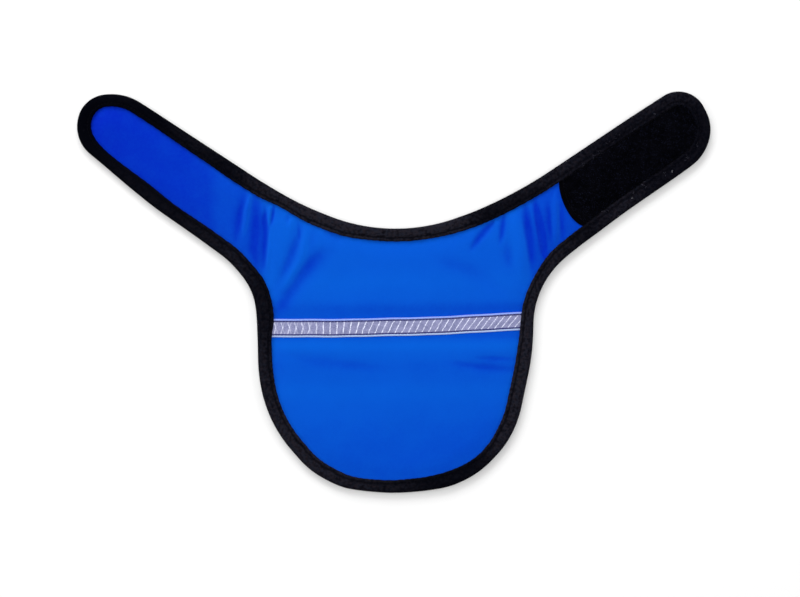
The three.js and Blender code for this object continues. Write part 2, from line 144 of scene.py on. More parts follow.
# Stations of the covers: the place on the neck edge, the place on the hem and the steps from the row above
STATIONS = (
    (("left_tip", "middle"), ("left_tip", "middle"), 0),
    (("left_top", "end"), ("left_end", "start"), 7),
    (("neck_left", "start"), ("left_armpit", "end"), 9),
    (("neck_middle", "start"), ("left_armpit", "start"), 17),
    (("neck_middle", "middle"), ("hem_middle", "middle"), 9),
    (("neck_middle", "end"), ("right_armpit", "end"), 9),
    (("neck_right", "end"), ("right_armpit", "start"), 17),
    (("right_top", "start"), ("right_end", "end"), 7),
    (("right_tip", "middle"), ("right_tip", "middle"), 7),
)
TIP_CHORD = 0.006
EDGE_CROWDING = 0.45
FRONT_STEPS = 7
FRONT_COLUMNS = 96
BACK_STEPS = 2
BACK_COLUMNS = 28

# Folds of the front cover, in mm: half width, rise and their line from the neck edge's lowest point
FOLDS = (
    (4.2, -0.45, (-126.5, 31), (-130, 12), (-134.5, -12)),
    (2.4, 0.75, (-121, 29), (-124.5, 14), (-127, -6)),
    (5.2, -0.7, (-116.5, 30), (-116.5, 4), (-118.5, -18), (-114, -40)),
    (1.7, 0.3, (-110.5, 21), (-111, 10)), (2.6, -0.4, (-111, 22), (-109.5, 10), (-108.5, -2)),
    (3.4, -0.8, (-109.5, 17), (-108.5, -6), (-110.5, -36)),
    (1.8, 0.4, (-104.5, 0), (-105.5, -16), (-107, -34)), (1.6, 0.6, (-104.5, 20), (-106.2, 2)),
    (1.8, -0.9, (-101.5, 21), (-104, 2)), (7, 0.4, (-95.5, 10), (-97.5, -16), (-99.5, -46)),
    (1.8, -0.3, (-90, 13), (-90.5, 4)), (2, 0.5, (-87, 9), (-87.5, -2)),
    (1.6, -0.3, (-82.5, 9), (-80.5, -2), (-80, -11)),
    (5.2, -0.7, (-79, 5), (-82, -9), (-89.8, -28), (-100.8, -50)),
    (3.6, 0.6, (-75, 0), (-78.5, -26), (-93.5, -50)), (3.5, -0.25, (-69, 0), (-70, -20)),
    (6.8, -0.85, (-60, -16), (-72.8, -30), (-85.5, -50), (-98.5, -69)),
    (6, -0.25, (-48, -12), (-66, -31), (-74.5, -46)), (5, -0.4, (-60, 2), (-45, -10)),
    (3.2, -0.9, (86.5, 8.5), (77.5, 1), (69, -9), (62, -19)), (1.8, 0.4, (85, 11), (83.5, 1)),
    (2.6, -0.8, (91.2, 14), (89.5, 0), (87.2, -14)), (5, -0.4, (93, -10), (95, -34)),
    (5, 0.7, (98.5, 12), (104.5, -12), (107.5, -44)), (4, -0.9, (108.3, 22), (110.8, -4), (114.2, -32)),
    (1.7, 0.2, (112.7, 21), (115.5, 6), (118.5, -12)),
    (3.2, -1, (116.5, 24), (121, 1), (124.5, -20), (128, -30)),
    (3.2, -0.4, (127, 22), (129.5, 2), (130, -10)), (2.8, 0.9, (133.5, 29), (134, 10), (134.5, -13)),
    (3, -0.4, (138, 22), (138.8, 4), (140.5, -10)), (7, -0.3, (30, -24), (62, -36), (90, -52)),
    (4.5, -0.3, (-108, -104), (-60, -110.5), (-10, -118)),
    (3.2, -0.4, (43, -111.5), (70, -115.5), (105, -119)), (2.4, -0.5, (64, -108), (105, -109.5)),
)
# Tone of the cloth between folds, from -1 for deep blue to 1 for light blue: on the straps by how far
# they lie from the lowest point of the neck edge; on the bib it is painted light and shade by how far down
# it lies: a painted sheen that fades towards the hem, painted shade just above the tape and a painted
# highlight just below it
STRAP_TONE = (
    (-0.26, -1.02), (-0.24, -0.95), (-0.21, -0.88), (-0.18, -0.82), (-0.16, -0.74), (-0.145, -0.46),
    (-0.115, -0.34), (-0.103, -0.12), (-0.085, 0.0), (0.100, 0.0), (0.108, -0.15), (0.118, -0.45),
    (0.145, -0.50),
)
BIB_PAINTED_LIGHT = (
    (0.0, 0.25), (0.03, 0.2), (0.045, 0.4), (0.056, 0.25), (0.068, -0.25), (0.09, -0.1), (0.098, 0.6),
    (0.106, 0.25), (0.115, -0.05), (0.125, 0.05), (0.136, 0.3), (0.152, 0.05), (0.17, -0.1),
    (0.19, -0.2), (0.21, -0.22),
)
# The bib's painted light and shade also darken towards the right, by this much per metre across
BIB_LIGHT_TO_RIGHT = -0.9
# Fold rise in metres for a whole step of painted shade or highlight, and the deepest painted shade that folds
# give
FOLD_SHADE_RISE = 0.0009
DEEPEST_FOLD_SHADE = -0.86
# Painted light on the binding by share of the edge's length, from 0 for jet black to 1 for its palest painted
# highlight, where light catches its domed face
BINDING_PAINTED_LIGHT = (
    (0.00, 0.00), (0.025, 0.08), (0.05, 0.04), (0.075, 0.20), (0.10, 0.14), (0.125, 0.60), (0.15, 1.00),
    (0.175, 0.95), (0.20, 0.80), (0.225, 0.95), (0.25, 0.20), (0.30, 0.45), (0.325, 0.25),
    (0.375, 0.40), (0.40, 0.18), (0.45, 0.22), (0.475, 0.50), (0.50, 0.25), (0.525, 0.60),
    (0.575, 0.90), (0.625, 0.72), (0.65, 0.16), (0.675, 0.14), (0.70, 0.40), (0.725, 0.65),
    (0.75, 0.85), (0.775, 0.85), (0.80, 0.58), (0.85, 0.22), (0.875, 0.40), (0.925, 0.18), (0.95, 0.15),
    (0.975, 0.05), (1.00, 0.00),
)
# Folds taper towards their ends, by this power of a half wave
FOLD_TAPER = 0.6
FOLD_START = 0.0115
FOLD_RUN = 0.006
# Slow waves of the cloth over its padding: share, bends per metre across and down, and start
WAVES = ((0.4, 58, 21, 0.7), (0.3, -37, 71, 2.1), (0.2, 112, -46, 4.0), (0.1, 83, 131, 1.3))
WAVE_RISE = 0.00045
WAVE_RUN = 0.02
PUCKER_RISE = 0.00014
PUCKER_PITCH = 0.0105
PUCKER_BEAT = 0.083
PUCKER_START = 1.1
PUCKER_REACH = 0.007
SEAM_DIP = 0.0005
SEAM_RUN = 0.007
TAPE_TROUGH = 0.0005
TAPE_TROUGH_REACH = 0.013
TAPE_TROUGH_END = 0.01


def direction(angle):
    return np.array([math.cos(angle), math.sin(angle)])


def smooth(value):
    value = np.clip(value, 0, 1)
    return value * value * (3 - 2 * value)


def lerp(start, end, share):
    return start + (end - start) * share


def wave_angle(distances, pitch):
    return 2 * math.pi * distances / pitch


def from_table(table, values):
    """A value from a table, eased between its rows."""
    places, results = np.array(table).T
    row = np.clip(np.searchsorted(places, values, side="right") - 1, 0, len(places) - 2)
    part = smooth((values - places[row]) / (places[row + 1] - places[row]))
    return lerp(results[row], results[row + 1], part)


def put_in_scene(name, data):
    made = bpy.data.objects.new(name, data)
    bpy.context.scene.collection.objects.link(made)
    return made


# The camera
camera_data = bpy.data.cameras.new("camera")
camera_data.lens = LENS_MM
camera_data.sensor_width = SENSOR_MM
camera = put_in_scene("camera", camera_data)
camera.location = (*VIEW_MIDDLE, VIEW_WIDTH * LENS_MM / SENSOR_MM + FOCUS_HEIGHT)
bpy.context.scene.camera = camera


# The edge of the collar


def strap(side, rise, length, width):
    """Gives a strap's points from shares of its length and width."""
    meet = np.array([STRAPS_MEET_ACROSS, -STRAPS_MEET_DROP])
    outward = direction(rise) * (side, 1)
    downward = np.array([side * math.sin(rise), -math.cos(rise)])
    return lambda along, across: meet + along * length * outward + across * width * downward


def strap_corners(place, width, rows):
    return [(name, place(along, across), turn * width) for name, along, across, turn in rows]


def armpit(name, side, place, last, root):
    """Where the strap's lower edge meets the bib's side."""
    start, end = place(*last), place(*root)
    across = side * BIB_WIDTH / 2
    share = (across - start[0]) / (end[0] - start[0])
    return name, np.array([across, lerp(start[1], end[1], share)]), ARMPIT_RADIUS


def collar_corners():
    left = strap(-1, LEFT_RISE, LEFT_LENGTH, LEFT_WIDTH)
    right = strap(1, RIGHT_RISE, RIGHT_LENGTH, RIGHT_WIDTH)
    top, tip, end, bend = strap_corners(left, LEFT_WIDTH, LEFT_CORNERS)
    neck_across, neck_down = NECK_MIDDLE
    neck = np.array([neck_across * BIB_WIDTH, -neck_down * STRAPS_MEET_DROP])
    return [
        tip,
        top,
        ("neck_left", left(NECK_SIDE_ALONG, 0), NECK_SIDE_RADIUS),
        ("neck_middle", neck, NECK_RADIUS),
        ("neck_right", right(NECK_SIDE_ALONG, 0), NECK_SIDE_RADIUS),
        *strap_corners(right, RIGHT_WIDTH, RIGHT_CORNERS),
        armpit("right_armpit", 1, right, RIGHT_CORNERS[-1][1:3], RIGHT_ROOT),
        *[
            (name, np.array([across * BIB_WIDTH / 2, -down * BIB_DEPTH]), turn * BIB_WIDTH)
            for name, across, down, turn in BIB_CORNERS
        ],
        armpit("left_armpit", -1, left, LEFT_CORNERS[-1][1:3], LEFT_ROOT),
        bend,
        end,
    ]


def rounded_edge(corners):
    """The closed edge, clockwise from above, as arcs and lines: start, heading, bend and distance of each."""
    places = np.array([place for _, place, _ in corners])
    runs = np.roll(places, -1, axis=0) - places
    lengths = np.linalg.norm(runs, axis=1)
    headings = np.arctan2(runs[:, 1], runs[:, 0])
    turns = np.mod(headings - np.roll(headings, 1) + math.pi, 2 * math.pi) - math.pi
    half = np.tan(np.abs(turns) / 2)
    wanted = np.array([radius for _, _, radius in corners]) * half
    room = np.minimum(1, lengths / (wanted + np.roll(wanted, -1)))
    reach = wanted * np.minimum(room, np.roll(room, 1))
    rows, marks, distance = [], {}, 0.0
    for i, (name, place, _) in enumerate(corners):
        arc = reach[i] / half[i] * abs(turns[i])
        before = headings[i - 1]
        rows.append((*(place - reach[i] * direction(before)), before, turns[i] / arc, distance))
        marks[name] = {"start": distance, "middle": distance + arc / 2, "end": distance + arc}
        distance += arc
        rows.append((*(place + reach[i] * direction(headings[i])), headings[i], 0.0, distance))
        distance += max(0.0, lengths[i] - reach[i] - reach[(i + 1) % len(corners)])
    return np.array(rows), marks, distance


edge_rows, marks, EDGE_LENGTH = rounded_edge(collar_corners())


def by_share(table, distances):
    """A value from a table by share of the edge's length."""
    return from_table(table, np.mod(distances, EDGE_LENGTH) / EDGE_LENGTH)


def edge_at(distances):
    """The edge's points and the directions into the collar there."""
    wrapped = np.mod(distances, EDGE_LENGTH)
    row = edge_rows[np.searchsorted(edge_rows[:, 4], wrapped, side="right") - 1]
    x, y, heading, bend, start = row.T
    gone = wrapped - start
    now = heading + bend * gone
    straight = np.abs(bend) < LEAST_BEND
    over = np.where(straight, 1, bend)
    dx = np.where(straight, gone * np.cos(heading), (np.sin(now) - np.sin(heading)) / over)
    dy = np.where(straight, gone * np.sin(heading), (np.cos(heading) - np.cos(now)) / over)
    inward = np.stack([np.sin(now), -np.cos(now)], axis=-1)
    points = np.stack([x + dx, y + dy], axis=-1) - plan_middle
    wander = MM * by_share(EDGE_WANDER, distances)
    return points - inward * wander[..., None], inward


EDGE_STEP = 0.0005
plan_middle = np.zeros(2)
edge_places = np.arange(0, EDGE_LENGTH, EDGE_STEP)
edge_points, edge_inward = edge_at(edge_places)
plan_middle = (edge_points.min(0) + edge_points.max(0)) / 2
neck_low = -plan_middle
edge_points = edge_points - plan_middle
edge_tree = KDTree(len(edge_points))
for number, edge_point in enumerate(edge_points):
    edge_tree.insert((*edge_point, 0), number)
edge_tree.balance()


def depth_and_place(points):
    """How far points lie inside the edge, and the place along it that they are nearest to."""
    flat = points.reshape(-1, 2)
    near = np.array([edge_tree.find((x, y, 0))[1] for x, y in flat])
    depth = ((flat - edge_points[near]) * edge_inward[near]).sum(1)
    return depth.reshape(points.shape[:-1]), edge_places[near].reshape(points.shape[:-1])


# Heights of the cloth

left_tip_point = edge_at(np.array([marks["left_tip"]["middle"]]))[0][0]


def lift_off_table(points, depth):
    """The covers' share of lift: 1 where the binding or the hook patch holds them up, 0 on the table."""
    behind = (points - left_tip_point) @ direction(-LEFT_RISE)
    from_edge = smooth((depth - BINDING_WIDTH - SETTLE_START) / SETTLE_RUN)
    from_hooks = smooth((behind - HOOK_PATCH_LENGTH - HOOK_CLEARANCE) / SETTLE_RUN)
    return 1 - from_edge * from_hooks


def fold_rise(points):
    """The height that the folds add at points."""
    rise = np.zeros(points.shape[:-1])
    for half_width, height, *line in FOLDS:
        line = neck_low + MM * np.array(line)
        legs = np.diff(line, axis=0)
        lengths = np.linalg.norm(legs, axis=1)
        nearest = np.full(rise.shape, np.inf)
        share = np.zeros(rise.shape)
        for start, leg, length, gone in zip(line, legs, lengths, np.cumsum(lengths) - lengths):
            along = np.clip(((points - start) @ leg) / length**2, 0, 1)
            off = np.linalg.norm(points - start - along[..., None] * leg, axis=-1)
            share = np.where(off < nearest, (gone + along * length) / lengths.sum(), share)
            nearest = np.minimum(off, nearest)
        swell = np.sin(math.pi * np.clip(share, 0.02, 0.98)) ** FOLD_TAPER
        width = MM * half_width * (0.5 + 0.5 * swell)
        rise += MM * height * swell * np.exp(-((nearest / width) ** 2))
    return rise


def undulation(points):
    """Slow, shallow waves, between -1 and 1."""
    x, y = points[..., 0], points[..., 1]
    return sum(share * np.sin(bend_x * x + bend_y * y + start) for share, bend_x, bend_y, start in WAVES)


def tape_middle(share):
    """The height on the plan of the tape's middle line, by share of its length."""
    return neck_low[1] - TAPE_DROP + TAPE_RISE * share**TAPE_BEND


def below_tape(points):
    """How far points lie below the tape's middle line."""
    share = np.clip((points[..., 0] - neck_low[0]) / BIB_WIDTH + 0.5, 0, 1)
    return tape_middle(share) - points[..., 1]


def on_bib(points):
    """1 on the bib and 0 past its sides."""
    return smooth((BIB_WIDTH / 2 - np.abs(points[..., 0] - neck_low[0])) / TAPE_TROUGH_END)


def front_top(points):
    """The height of the front cover's face."""
    depth, place = depth_and_place(points)
    inside = depth - BINDING_WIDTH
    crown = CROWN * smooth((inside - SETTLE_START) / SETTLE_RUN)
    folds = fold_rise(points) * smooth((depth - FOLD_START) / FOLD_RUN)
    waves = WAVE_RISE * undulation(points) * smooth(inside / WAVE_RUN)
    beat = 0.5 + 0.5 * np.sin(wave_angle(place, PUCKER_BEAT) + PUCKER_START)
    pucker = PUCKER_RISE * beat * np.sin(wave_angle(place, PUCKER_PITCH) + 2 * beat)
    pucker = pucker * np.exp(-np.abs(inside) / PUCKER_REACH)
    seam = -SEAM_DIP * np.exp(-((np.maximum(inside, 0) / SEAM_RUN) ** 2))
    off_tape = (np.abs(below_tape(points)) - TAPE_WIDTH / 2) / TAPE_TROUGH_REACH
    trough = -TAPE_TROUGH * (1 - smooth(off_tape)) * on_bib(points)
    height = FRONT_TOP_Z + crown + folds + waves + pucker + seam + trough
    return np.maximum(height, FRONT_EDGE_Z + LEAST_WALL)


# Meshes


def mesh_object(name, points, faces, material, corner_places=None):
    """A smooth mesh at the origin. corner_places gives the cloth's own place at each corner of each face."""
    mesh = bpy.data.meshes.new(name)
    mesh.from_pydata([tuple(p) for p in points], [], faces)
    if corner_places is not None:
        cloth = mesh.attributes.new("cloth_place", "FLOAT_VECTOR", "CORNER")
        cloth.data.foreach_set("vector", np.array(corner_places, np.float32).ravel())
    mesh.shade_smooth()
    mesh.validate()
    mesh.materials.append(material)
    return put_in_scene(name, mesh)


def point_values(piece, name, values):
    attribute = piece.data.attributes.new(name, "FLOAT", "POINT")
    attribute.data.foreach_set("value", np.array(values, np.float32).ravel())


def grid_faces(plan, top):
    """The numbers, points and faces of a grid over plan points."""
    index = np.arange(top.size).reshape(top.shape)
    quads = np.stack([index[:-1, :-1], index[:-1, 1:], index[1:, 1:], index[1:, :-1]], axis=-1)
    return index, np.dstack([plan, top]).reshape(-1, 3), quads.reshape(-1, 4)


def closed_sheet(name, plan, top, bottom, material, cloth=None):
    """A sheet with two faces and a rim. cloth is the cloth's own place at each plan point."""
    index, upper, quads = grid_faces(plan, top)
    start = len(upper)
    rim = np.concatenate([index[0, :-1], index[:-1, -1], index[-1, :0:-1], index[:0:-1, 0]])
    after = np.roll(rim, -1)
    sides = np.stack([rim, start + rim, start + after, after], axis=-1)
    faces = np.vstack([quads, start + quads[:, ::-1], sides]).tolist()
    places = None
    if cloth is not None:
        flat = np.column_stack([cloth.reshape(-1, 2), np.zeros(start)])
        places = np.vstack([flat, flat])[np.array(faces).ravel()]
    lower = np.dstack([plan, bottom]).reshape(-1, 3)
    return mesh_object(name, np.vstack([upper, lower]), faces, material, places)


def flat_based_sheet(name, plan, top, base_height, material):
    """A sheet whose underside is flat and takes one strip for each row of plan points."""
    index, upper, quads = grid_faces(plan, top)
    ends = np.vstack([plan[:, 0], plan[:, -1]])
    lower = np.column_stack([ends, np.full(len(ends), base_height)])
    neck = len(upper) + np.arange(len(plan))
    hem = neck + len(plan)
    faces = quads.tolist()
    for i in range(len(plan) - 1):
        faces.append((neck[i + 1], hem[i + 1], hem[i], neck[i]))
        faces.append((index[i, 0], index[i + 1, 0], neck[i + 1], neck[i]))
        faces.append((index[i + 1, -1], index[i, -1], hem[i], hem[i + 1]))
    faces.append((*index[0, ::-1], neck[0], hem[0]))
    faces.append((*index[-1], hem[-1], neck[-1]))
    faces = [tuple(int(v) for v in face) for face in faces]
    return mesh_object(name, np.vstack([upper, lower]), faces, material)


neck_stops = np.array([marks[corner][part] for (corner, part), _, _ in STATIONS])
hem_stops = np.array([marks[corner][part] for _, (corner, part), _ in STATIONS])
hem_stops[0] += EDGE_LENGTH


def chords(places, inset):
    """The ends of lines across the collar, on the neck edge and on the hem, moved in from the edge."""
    stops = np.arange(len(STATIONS))
    short = TIP_CHORD / 2
    neck = np.clip(np.interp(places, stops, neck_stops), neck_stops[0] + short, neck_stops[-1] - short)
    hem = np.clip(np.interp(places, stops, hem_stops), hem_stops[-1] + short, hem_stops[0] - short)
    neck_points, neck_inward = edge_at(neck)
    hem_points, hem_inward = edge_at(hem)
    return neck_points + inset * neck_inward, hem_points + inset * hem_inward


def cover_grid(steps, columns):
    """Plan points of a cover, row by row from the left tip to the right tip, closer together at the edges."""
    places = [0.0]
    for number, (_, _, count) in enumerate(STATIONS):
        places.extend(number - 1 + np.arange(1, count * steps + 1) / max(1, count * steps))
    neck, hem = chords(np.array(places), COVER_INSET)
    even = np.linspace(0, 1, columns + 1)
    share = lerp(even, (1 - np.cos(math.pi * even)) / 2, EDGE_CROWDING)[None, :, None]
    return lerp(neck[:, None, :], hem[:, None, :], share)


# Node trees


def by_socket(values):
    """Values by their sockets' names, which have spaces where keywords have underscores."""
    return {name.replace("_", " "): value for name, value in values.items()}


class Nodes:
    """Adds nodes to one tree. A value that is a socket is linked, any other is set."""

    def __init__(self, tree):
        self.tree = tree

    def put(self, socket, value):
        if isinstance(value, bpy.types.NodeSocket):
            self.tree.links.new(value, socket)
        else:
            socket.default_value = value

    def add(self, kind, inputs=None, **settings):
        made = self.tree.nodes.new(kind)
        for name, value in settings.items():
            setattr(made, name, value)
        for name, value in (inputs or {}).items():
            self.put(made.inputs[name], value)
        return made

    def math(self, operation, *values):
        return self.add("ShaderNodeMath", dict(enumerate(values)), operation=operation).outputs[0]

    def times(self, first, second):
        return self.math("MULTIPLY", first, second)

    def scaled(self, value, by, plus):
        return self.math("MULTIPLY_ADD", value, by, plus)

    def ramp(self, value, low, high, start=0.0, end=1.0):
        inputs = {"Value": value, "From Min": low, "From Max": high, "To Min": start, "To Max": end}
        return self.add("ShaderNodeMapRange", inputs, interpolation_type="SMOOTHSTEP").outputs[0]

    def mix(self, share, start, end):
        return self.add("ShaderNodeMix", {0: share, 6: start, 7: end}, data_type="RGBA").outputs[2]

    def blend(self, share, start, end):
        return self.add("ShaderNodeMix", {0: share, 2: start, 3: end}, data_type="FLOAT").outputs[0]

    def noise(self, place, scale, detail=2.0):
        inputs = {"Vector": place, "Scale": scale, "Detail": detail, "Roughness": 0.5}
        return self.add("ShaderNodeTexNoise", inputs).outputs["Fac"]

    def own(self, name, output="Fac"):
        """One of the piece's own values."""
        return self.add("ShaderNodeAttribute", attribute_name=name).outputs[output]

    def object_place(self):
        return self.add("ShaderNodeTexCoord").outputs["Object"]

    def effect(self, tree, **values):
        """A node group with its inputs set or linked."""
        return self.add("ShaderNodeGroup", by_socket(values), node_tree=tree).outputs

    def geometry(self, kind, **values):
        """What a geometry node makes of its inputs."""
        return self.add("GeometryNode" + kind, by_socket(values)).outputs[0]


def group(name, kind, inputs, outputs):
    """A new node group's nodes, inputs and outputs. A socket is its name, its kind and maybe its value."""
    tree = bpy.data.node_groups.new(name, kind)
    for side, sockets in (("INPUT", inputs), ("OUTPUT", outputs)):
        for socket, socket_kind, *default in sockets:
            made = tree.interface.new_socket(socket, in_out=side, socket_type="NodeSocket" + socket_kind)
            for value in default:
                made.default_value = value
    nodes = Nodes(tree)
    return nodes, nodes.add("NodeGroupInput").outputs, nodes.add("NodeGroupOutput").inputs


def weave_group():
    """Yarns of a plain weave, which pass over and under each other."""
    inputs = (("Place", "Vector"), ("Yarns per Metre", "Float"))
    nodes, given, result = group("weave", "ShaderNodeTree", inputs, (("Height", "Float"),))
    place = nodes.add("ShaderNodeSeparateXYZ", {"Vector": given["Place"]}).outputs
    cells, swells = [], []
    for axis in ("X", "Y"):
        scaled = nodes.times(place[axis], given["Yarns per Metre"])
        cells.append(nodes.math("FLOOR", scaled))
        swells.append(nodes.math("SINE", nodes.times(nodes.math("FRACT", scaled), math.pi)))
    every_other = nodes.math("FRACT", nodes.math("DIVIDE", nodes.math("ADD", *cells), 2.0))
    over = nodes.math("LESS_THAN", every_other, 0.49)
    warp = nodes.times(swells[0], nodes.scaled(swells[1], 0.4, 0.6))
    weft = nodes.times(swells[1], nodes.scaled(swells[0], 0.4, 0.6))
    under = nodes.times(weft, nodes.math("SUBTRACT", 1.0, over))
    nodes.put(result["Height"], nodes.scaled(warp, over, under))
    return nodes.tree


def mottle_group():
    """Uneven colour: a slow change and a fine one, mixed from two colours."""
    inputs = (
        ("Place", "Vector"), ("Dark", "Color"), ("Light", "Color"), ("Slow Scale", "Float"),
        ("Fine Scale", "Float", 900.0), ("Fine Share", "Float", 0.4),
    )
    outputs = (("Color", "Color"), ("Share", "Float"))
    nodes, given, result = group("mottle", "ShaderNodeTree", inputs, outputs)
    slow = nodes.ramp(nodes.noise(given["Place"], given["Slow Scale"]), 0.3, 0.7)
    fine = nodes.ramp(nodes.noise(given["Place"], given["Fine Scale"], 3.0), 0.36, 0.64)
    share = nodes.blend(given["Fine Share"], slow, fine)
    nodes.put(result["Color"], nodes.mix(share, given["Dark"], given["Light"]))
    nodes.put(result["Share"], share)
    return nodes.tree


WEAVE = weave_group()
MOTTLE = mottle_group()


def new_material(name, **values):
    """A material and its nodes, with the shader's plain values set."""
    material = bpy.data.materials.new(name)
    material.use_nodes = True
    nodes = Nodes(material.node_tree)
    for socket, value in by_socket(values).items():
        nodes.put(material.node_tree.nodes["Principled BSDF"].inputs[socket], value)
    return material, nodes


def surface(nodes, colour, height, relief, roughness=None):
    """Gives the shader its colour, its bumps of a relief in metres and, if any, its uneven roughness."""
    inputs = nodes.tree.nodes["Principled BSDF"].inputs
    nodes.put(inputs["Base Color"], colour)
    if roughness is not None:
        nodes.put(inputs["Roughness"], roughness)
    bump = nodes.add("ShaderNodeBump", {"Strength": 1.0, "Distance": relief, "Height": height})
    nodes.put(inputs["Normal"], bump.outputs[0])


# Materials

DEEP_BLUE = (0.0004, 0.0128, 0.422, 1)
MID_BLUE = (0.0015, 0.072, 0.535, 1)
LIGHT_BLUE = (0.0018, 0.102, 0.596, 1)
BLUE_SHEEN = (0.02, 0.45, 1.0, 1)
JET_BLACK = (0.0001, 0.0003, 0.0016, 1)
BROWN_BLACK = (0.0150, 0.0112, 0.0148, 1)
BLUE_BLACK = (0.0092, 0.0116, 0.0200, 1)
DUST = (0.5, 0.5, 0.55, 1)
DARK_GREY = (0.125, 0.138, 0.280, 1)
PALE_GREY = (0.270, 0.275, 0.470, 1)
HATCH_WHITE = (0.74, 0.77, 0.96, 1)
STITCHED_NAVY = (0.030, 0.034, 0.160, 1)
UPPER_EDGE = (0.20, 0.29, 0.74, 1)
LOWER_EDGE = (0.50, 0.64, 1.0, 1)


def nylon_material():
    """Coated blue nylon: deeper on the straps, with painted shade down in the folds, painted highlights on
    their ridges and painted light and shade down the bib.
    """
    material, nodes = new_material(
        "blue_nylon", Roughness=0.5, Specular_IOR_Level=0.16, Specular_Tint=BLUE_SHEEN, Sheen_Weight=0.03,
        Sheen_Tint=BLUE_SHEEN,
    )
    place = nodes.object_place()
    uneven = nodes.effect(MOTTLE, Place=place, Slow_Scale=60.0, Fine_Scale=420.0, Fine_Share=0.45)
    # The tone brings the straps' own tone, the bib's painted light and shade and the folds' painted shade and
    # highlights, plus a little random mottle
    tone = nodes.math("ADD", nodes.own("cloth_tone"), nodes.scaled(uneven["Share"], 0.16, -0.08))
    colour = nodes.mix(nodes.times(tone, -1.0), MID_BLUE, DEEP_BLUE)
    colour = nodes.mix(tone, colour, LIGHT_BLUE)
    yarns = nodes.effect(WEAVE, Place=place, Yarns_per_Metre=1900.0)["Height"]
    shade = nodes.scaled(yarns, 0.26, 0.86)
    woven = nodes.add("ShaderNodeHueSaturation", {"Value": shade, "Color": colour}).outputs[0]
    surface(nodes, woven, yarns, 0.00006, nodes.scaled(uneven["Share"], 0.12, 0.44))
    return material


def binding_material():
    """Black ribbed tape, dull, with painted highlights where light catches it and painted shade along its row
    of stitches.
    """
    material, nodes = new_material(
        "black_binding", Roughness=0.65, Specular_IOR_Level=0.012, Specular_Tint=(0.8, 0.8, 1.0, 1)
    )
    place = nodes.own("cloth_place", "Vector")
    uneven = nodes.effect(MOTTLE, Place=place, Slow_Scale=150.0, Fine_Scale=430.0, Fine_Share=0.7)
    tint = nodes.effect(MOTTLE, Place=place, Dark=BROWN_BLACK, Light=BLUE_BLACK, Slow_Scale=330.0)
    ribs = nodes.effect(WEAVE, Place=place, Yarns_per_Metre=930.0)["Height"]
    # The tone along the edge is a painted highlight where light catches the binding, near black elsewhere
    share = nodes.times(nodes.own("cloth_tone"), nodes.scaled(uneven["Share"], 1.5, 0.25))
    share = nodes.times(share, nodes.scaled(ribs, 0.45, 0.75))
    # Painted shade along the stitched groove
    share = nodes.times(share, nodes.scaled(nodes.own("groove_shade"), -0.75, 1.0))
    colour = nodes.mix(share, JET_BLACK, tint["Color"])
    # Sparse pale specks of dust
    cells = nodes.add("ShaderNodeTexVoronoi", {"Vector": place, "Scale": 420.0})
    specks = nodes.ramp(cells.outputs["Distance"], 0.28, 0.1)
    patches = nodes.ramp(nodes.noise(place, 90.0, 1.0), 0.5, 0.75)
    colour = nodes.mix(nodes.times(nodes.times(specks, patches), 0.010), colour, DUST)
    surface(nodes, colour, ribs, 0.00012, nodes.scaled(ribs, -0.15, 0.7))
    return material


HATCH_PITCH = 0.00567
HATCH_HALF_WIDTH = 0.00044
# Stretches of the tape over which the hatch leans more: start, end and lean added
HATCH_LEANS = ((0.046, 0.100, 0.5), (0.120, 0.195, 0.35))
HATCH_SHIFT = 0.0031
HATCH_WOBBLE = 0.0015
EDGE_BAND = 0.0014
EDGE_SOFTNESS = 0.0002
STITCH_BAND = 0.0012
STITCH_SOFTNESS = 0.0003


def hatch_lines(nodes, slid):
    """Lines across the tape, one every HATCH_PITCH of the place slid along it."""
    turns = nodes.math("FRACT", nodes.math("DIVIDE", slid, HATCH_PITCH))
    off_line = nodes.math("ABSOLUTE", nodes.math("SUBTRACT", turns, 0.5))
    half_width = HATCH_HALF_WIDTH / HATCH_PITCH
    return nodes.ramp(off_line, half_width * 1.4, half_width * 0.5)


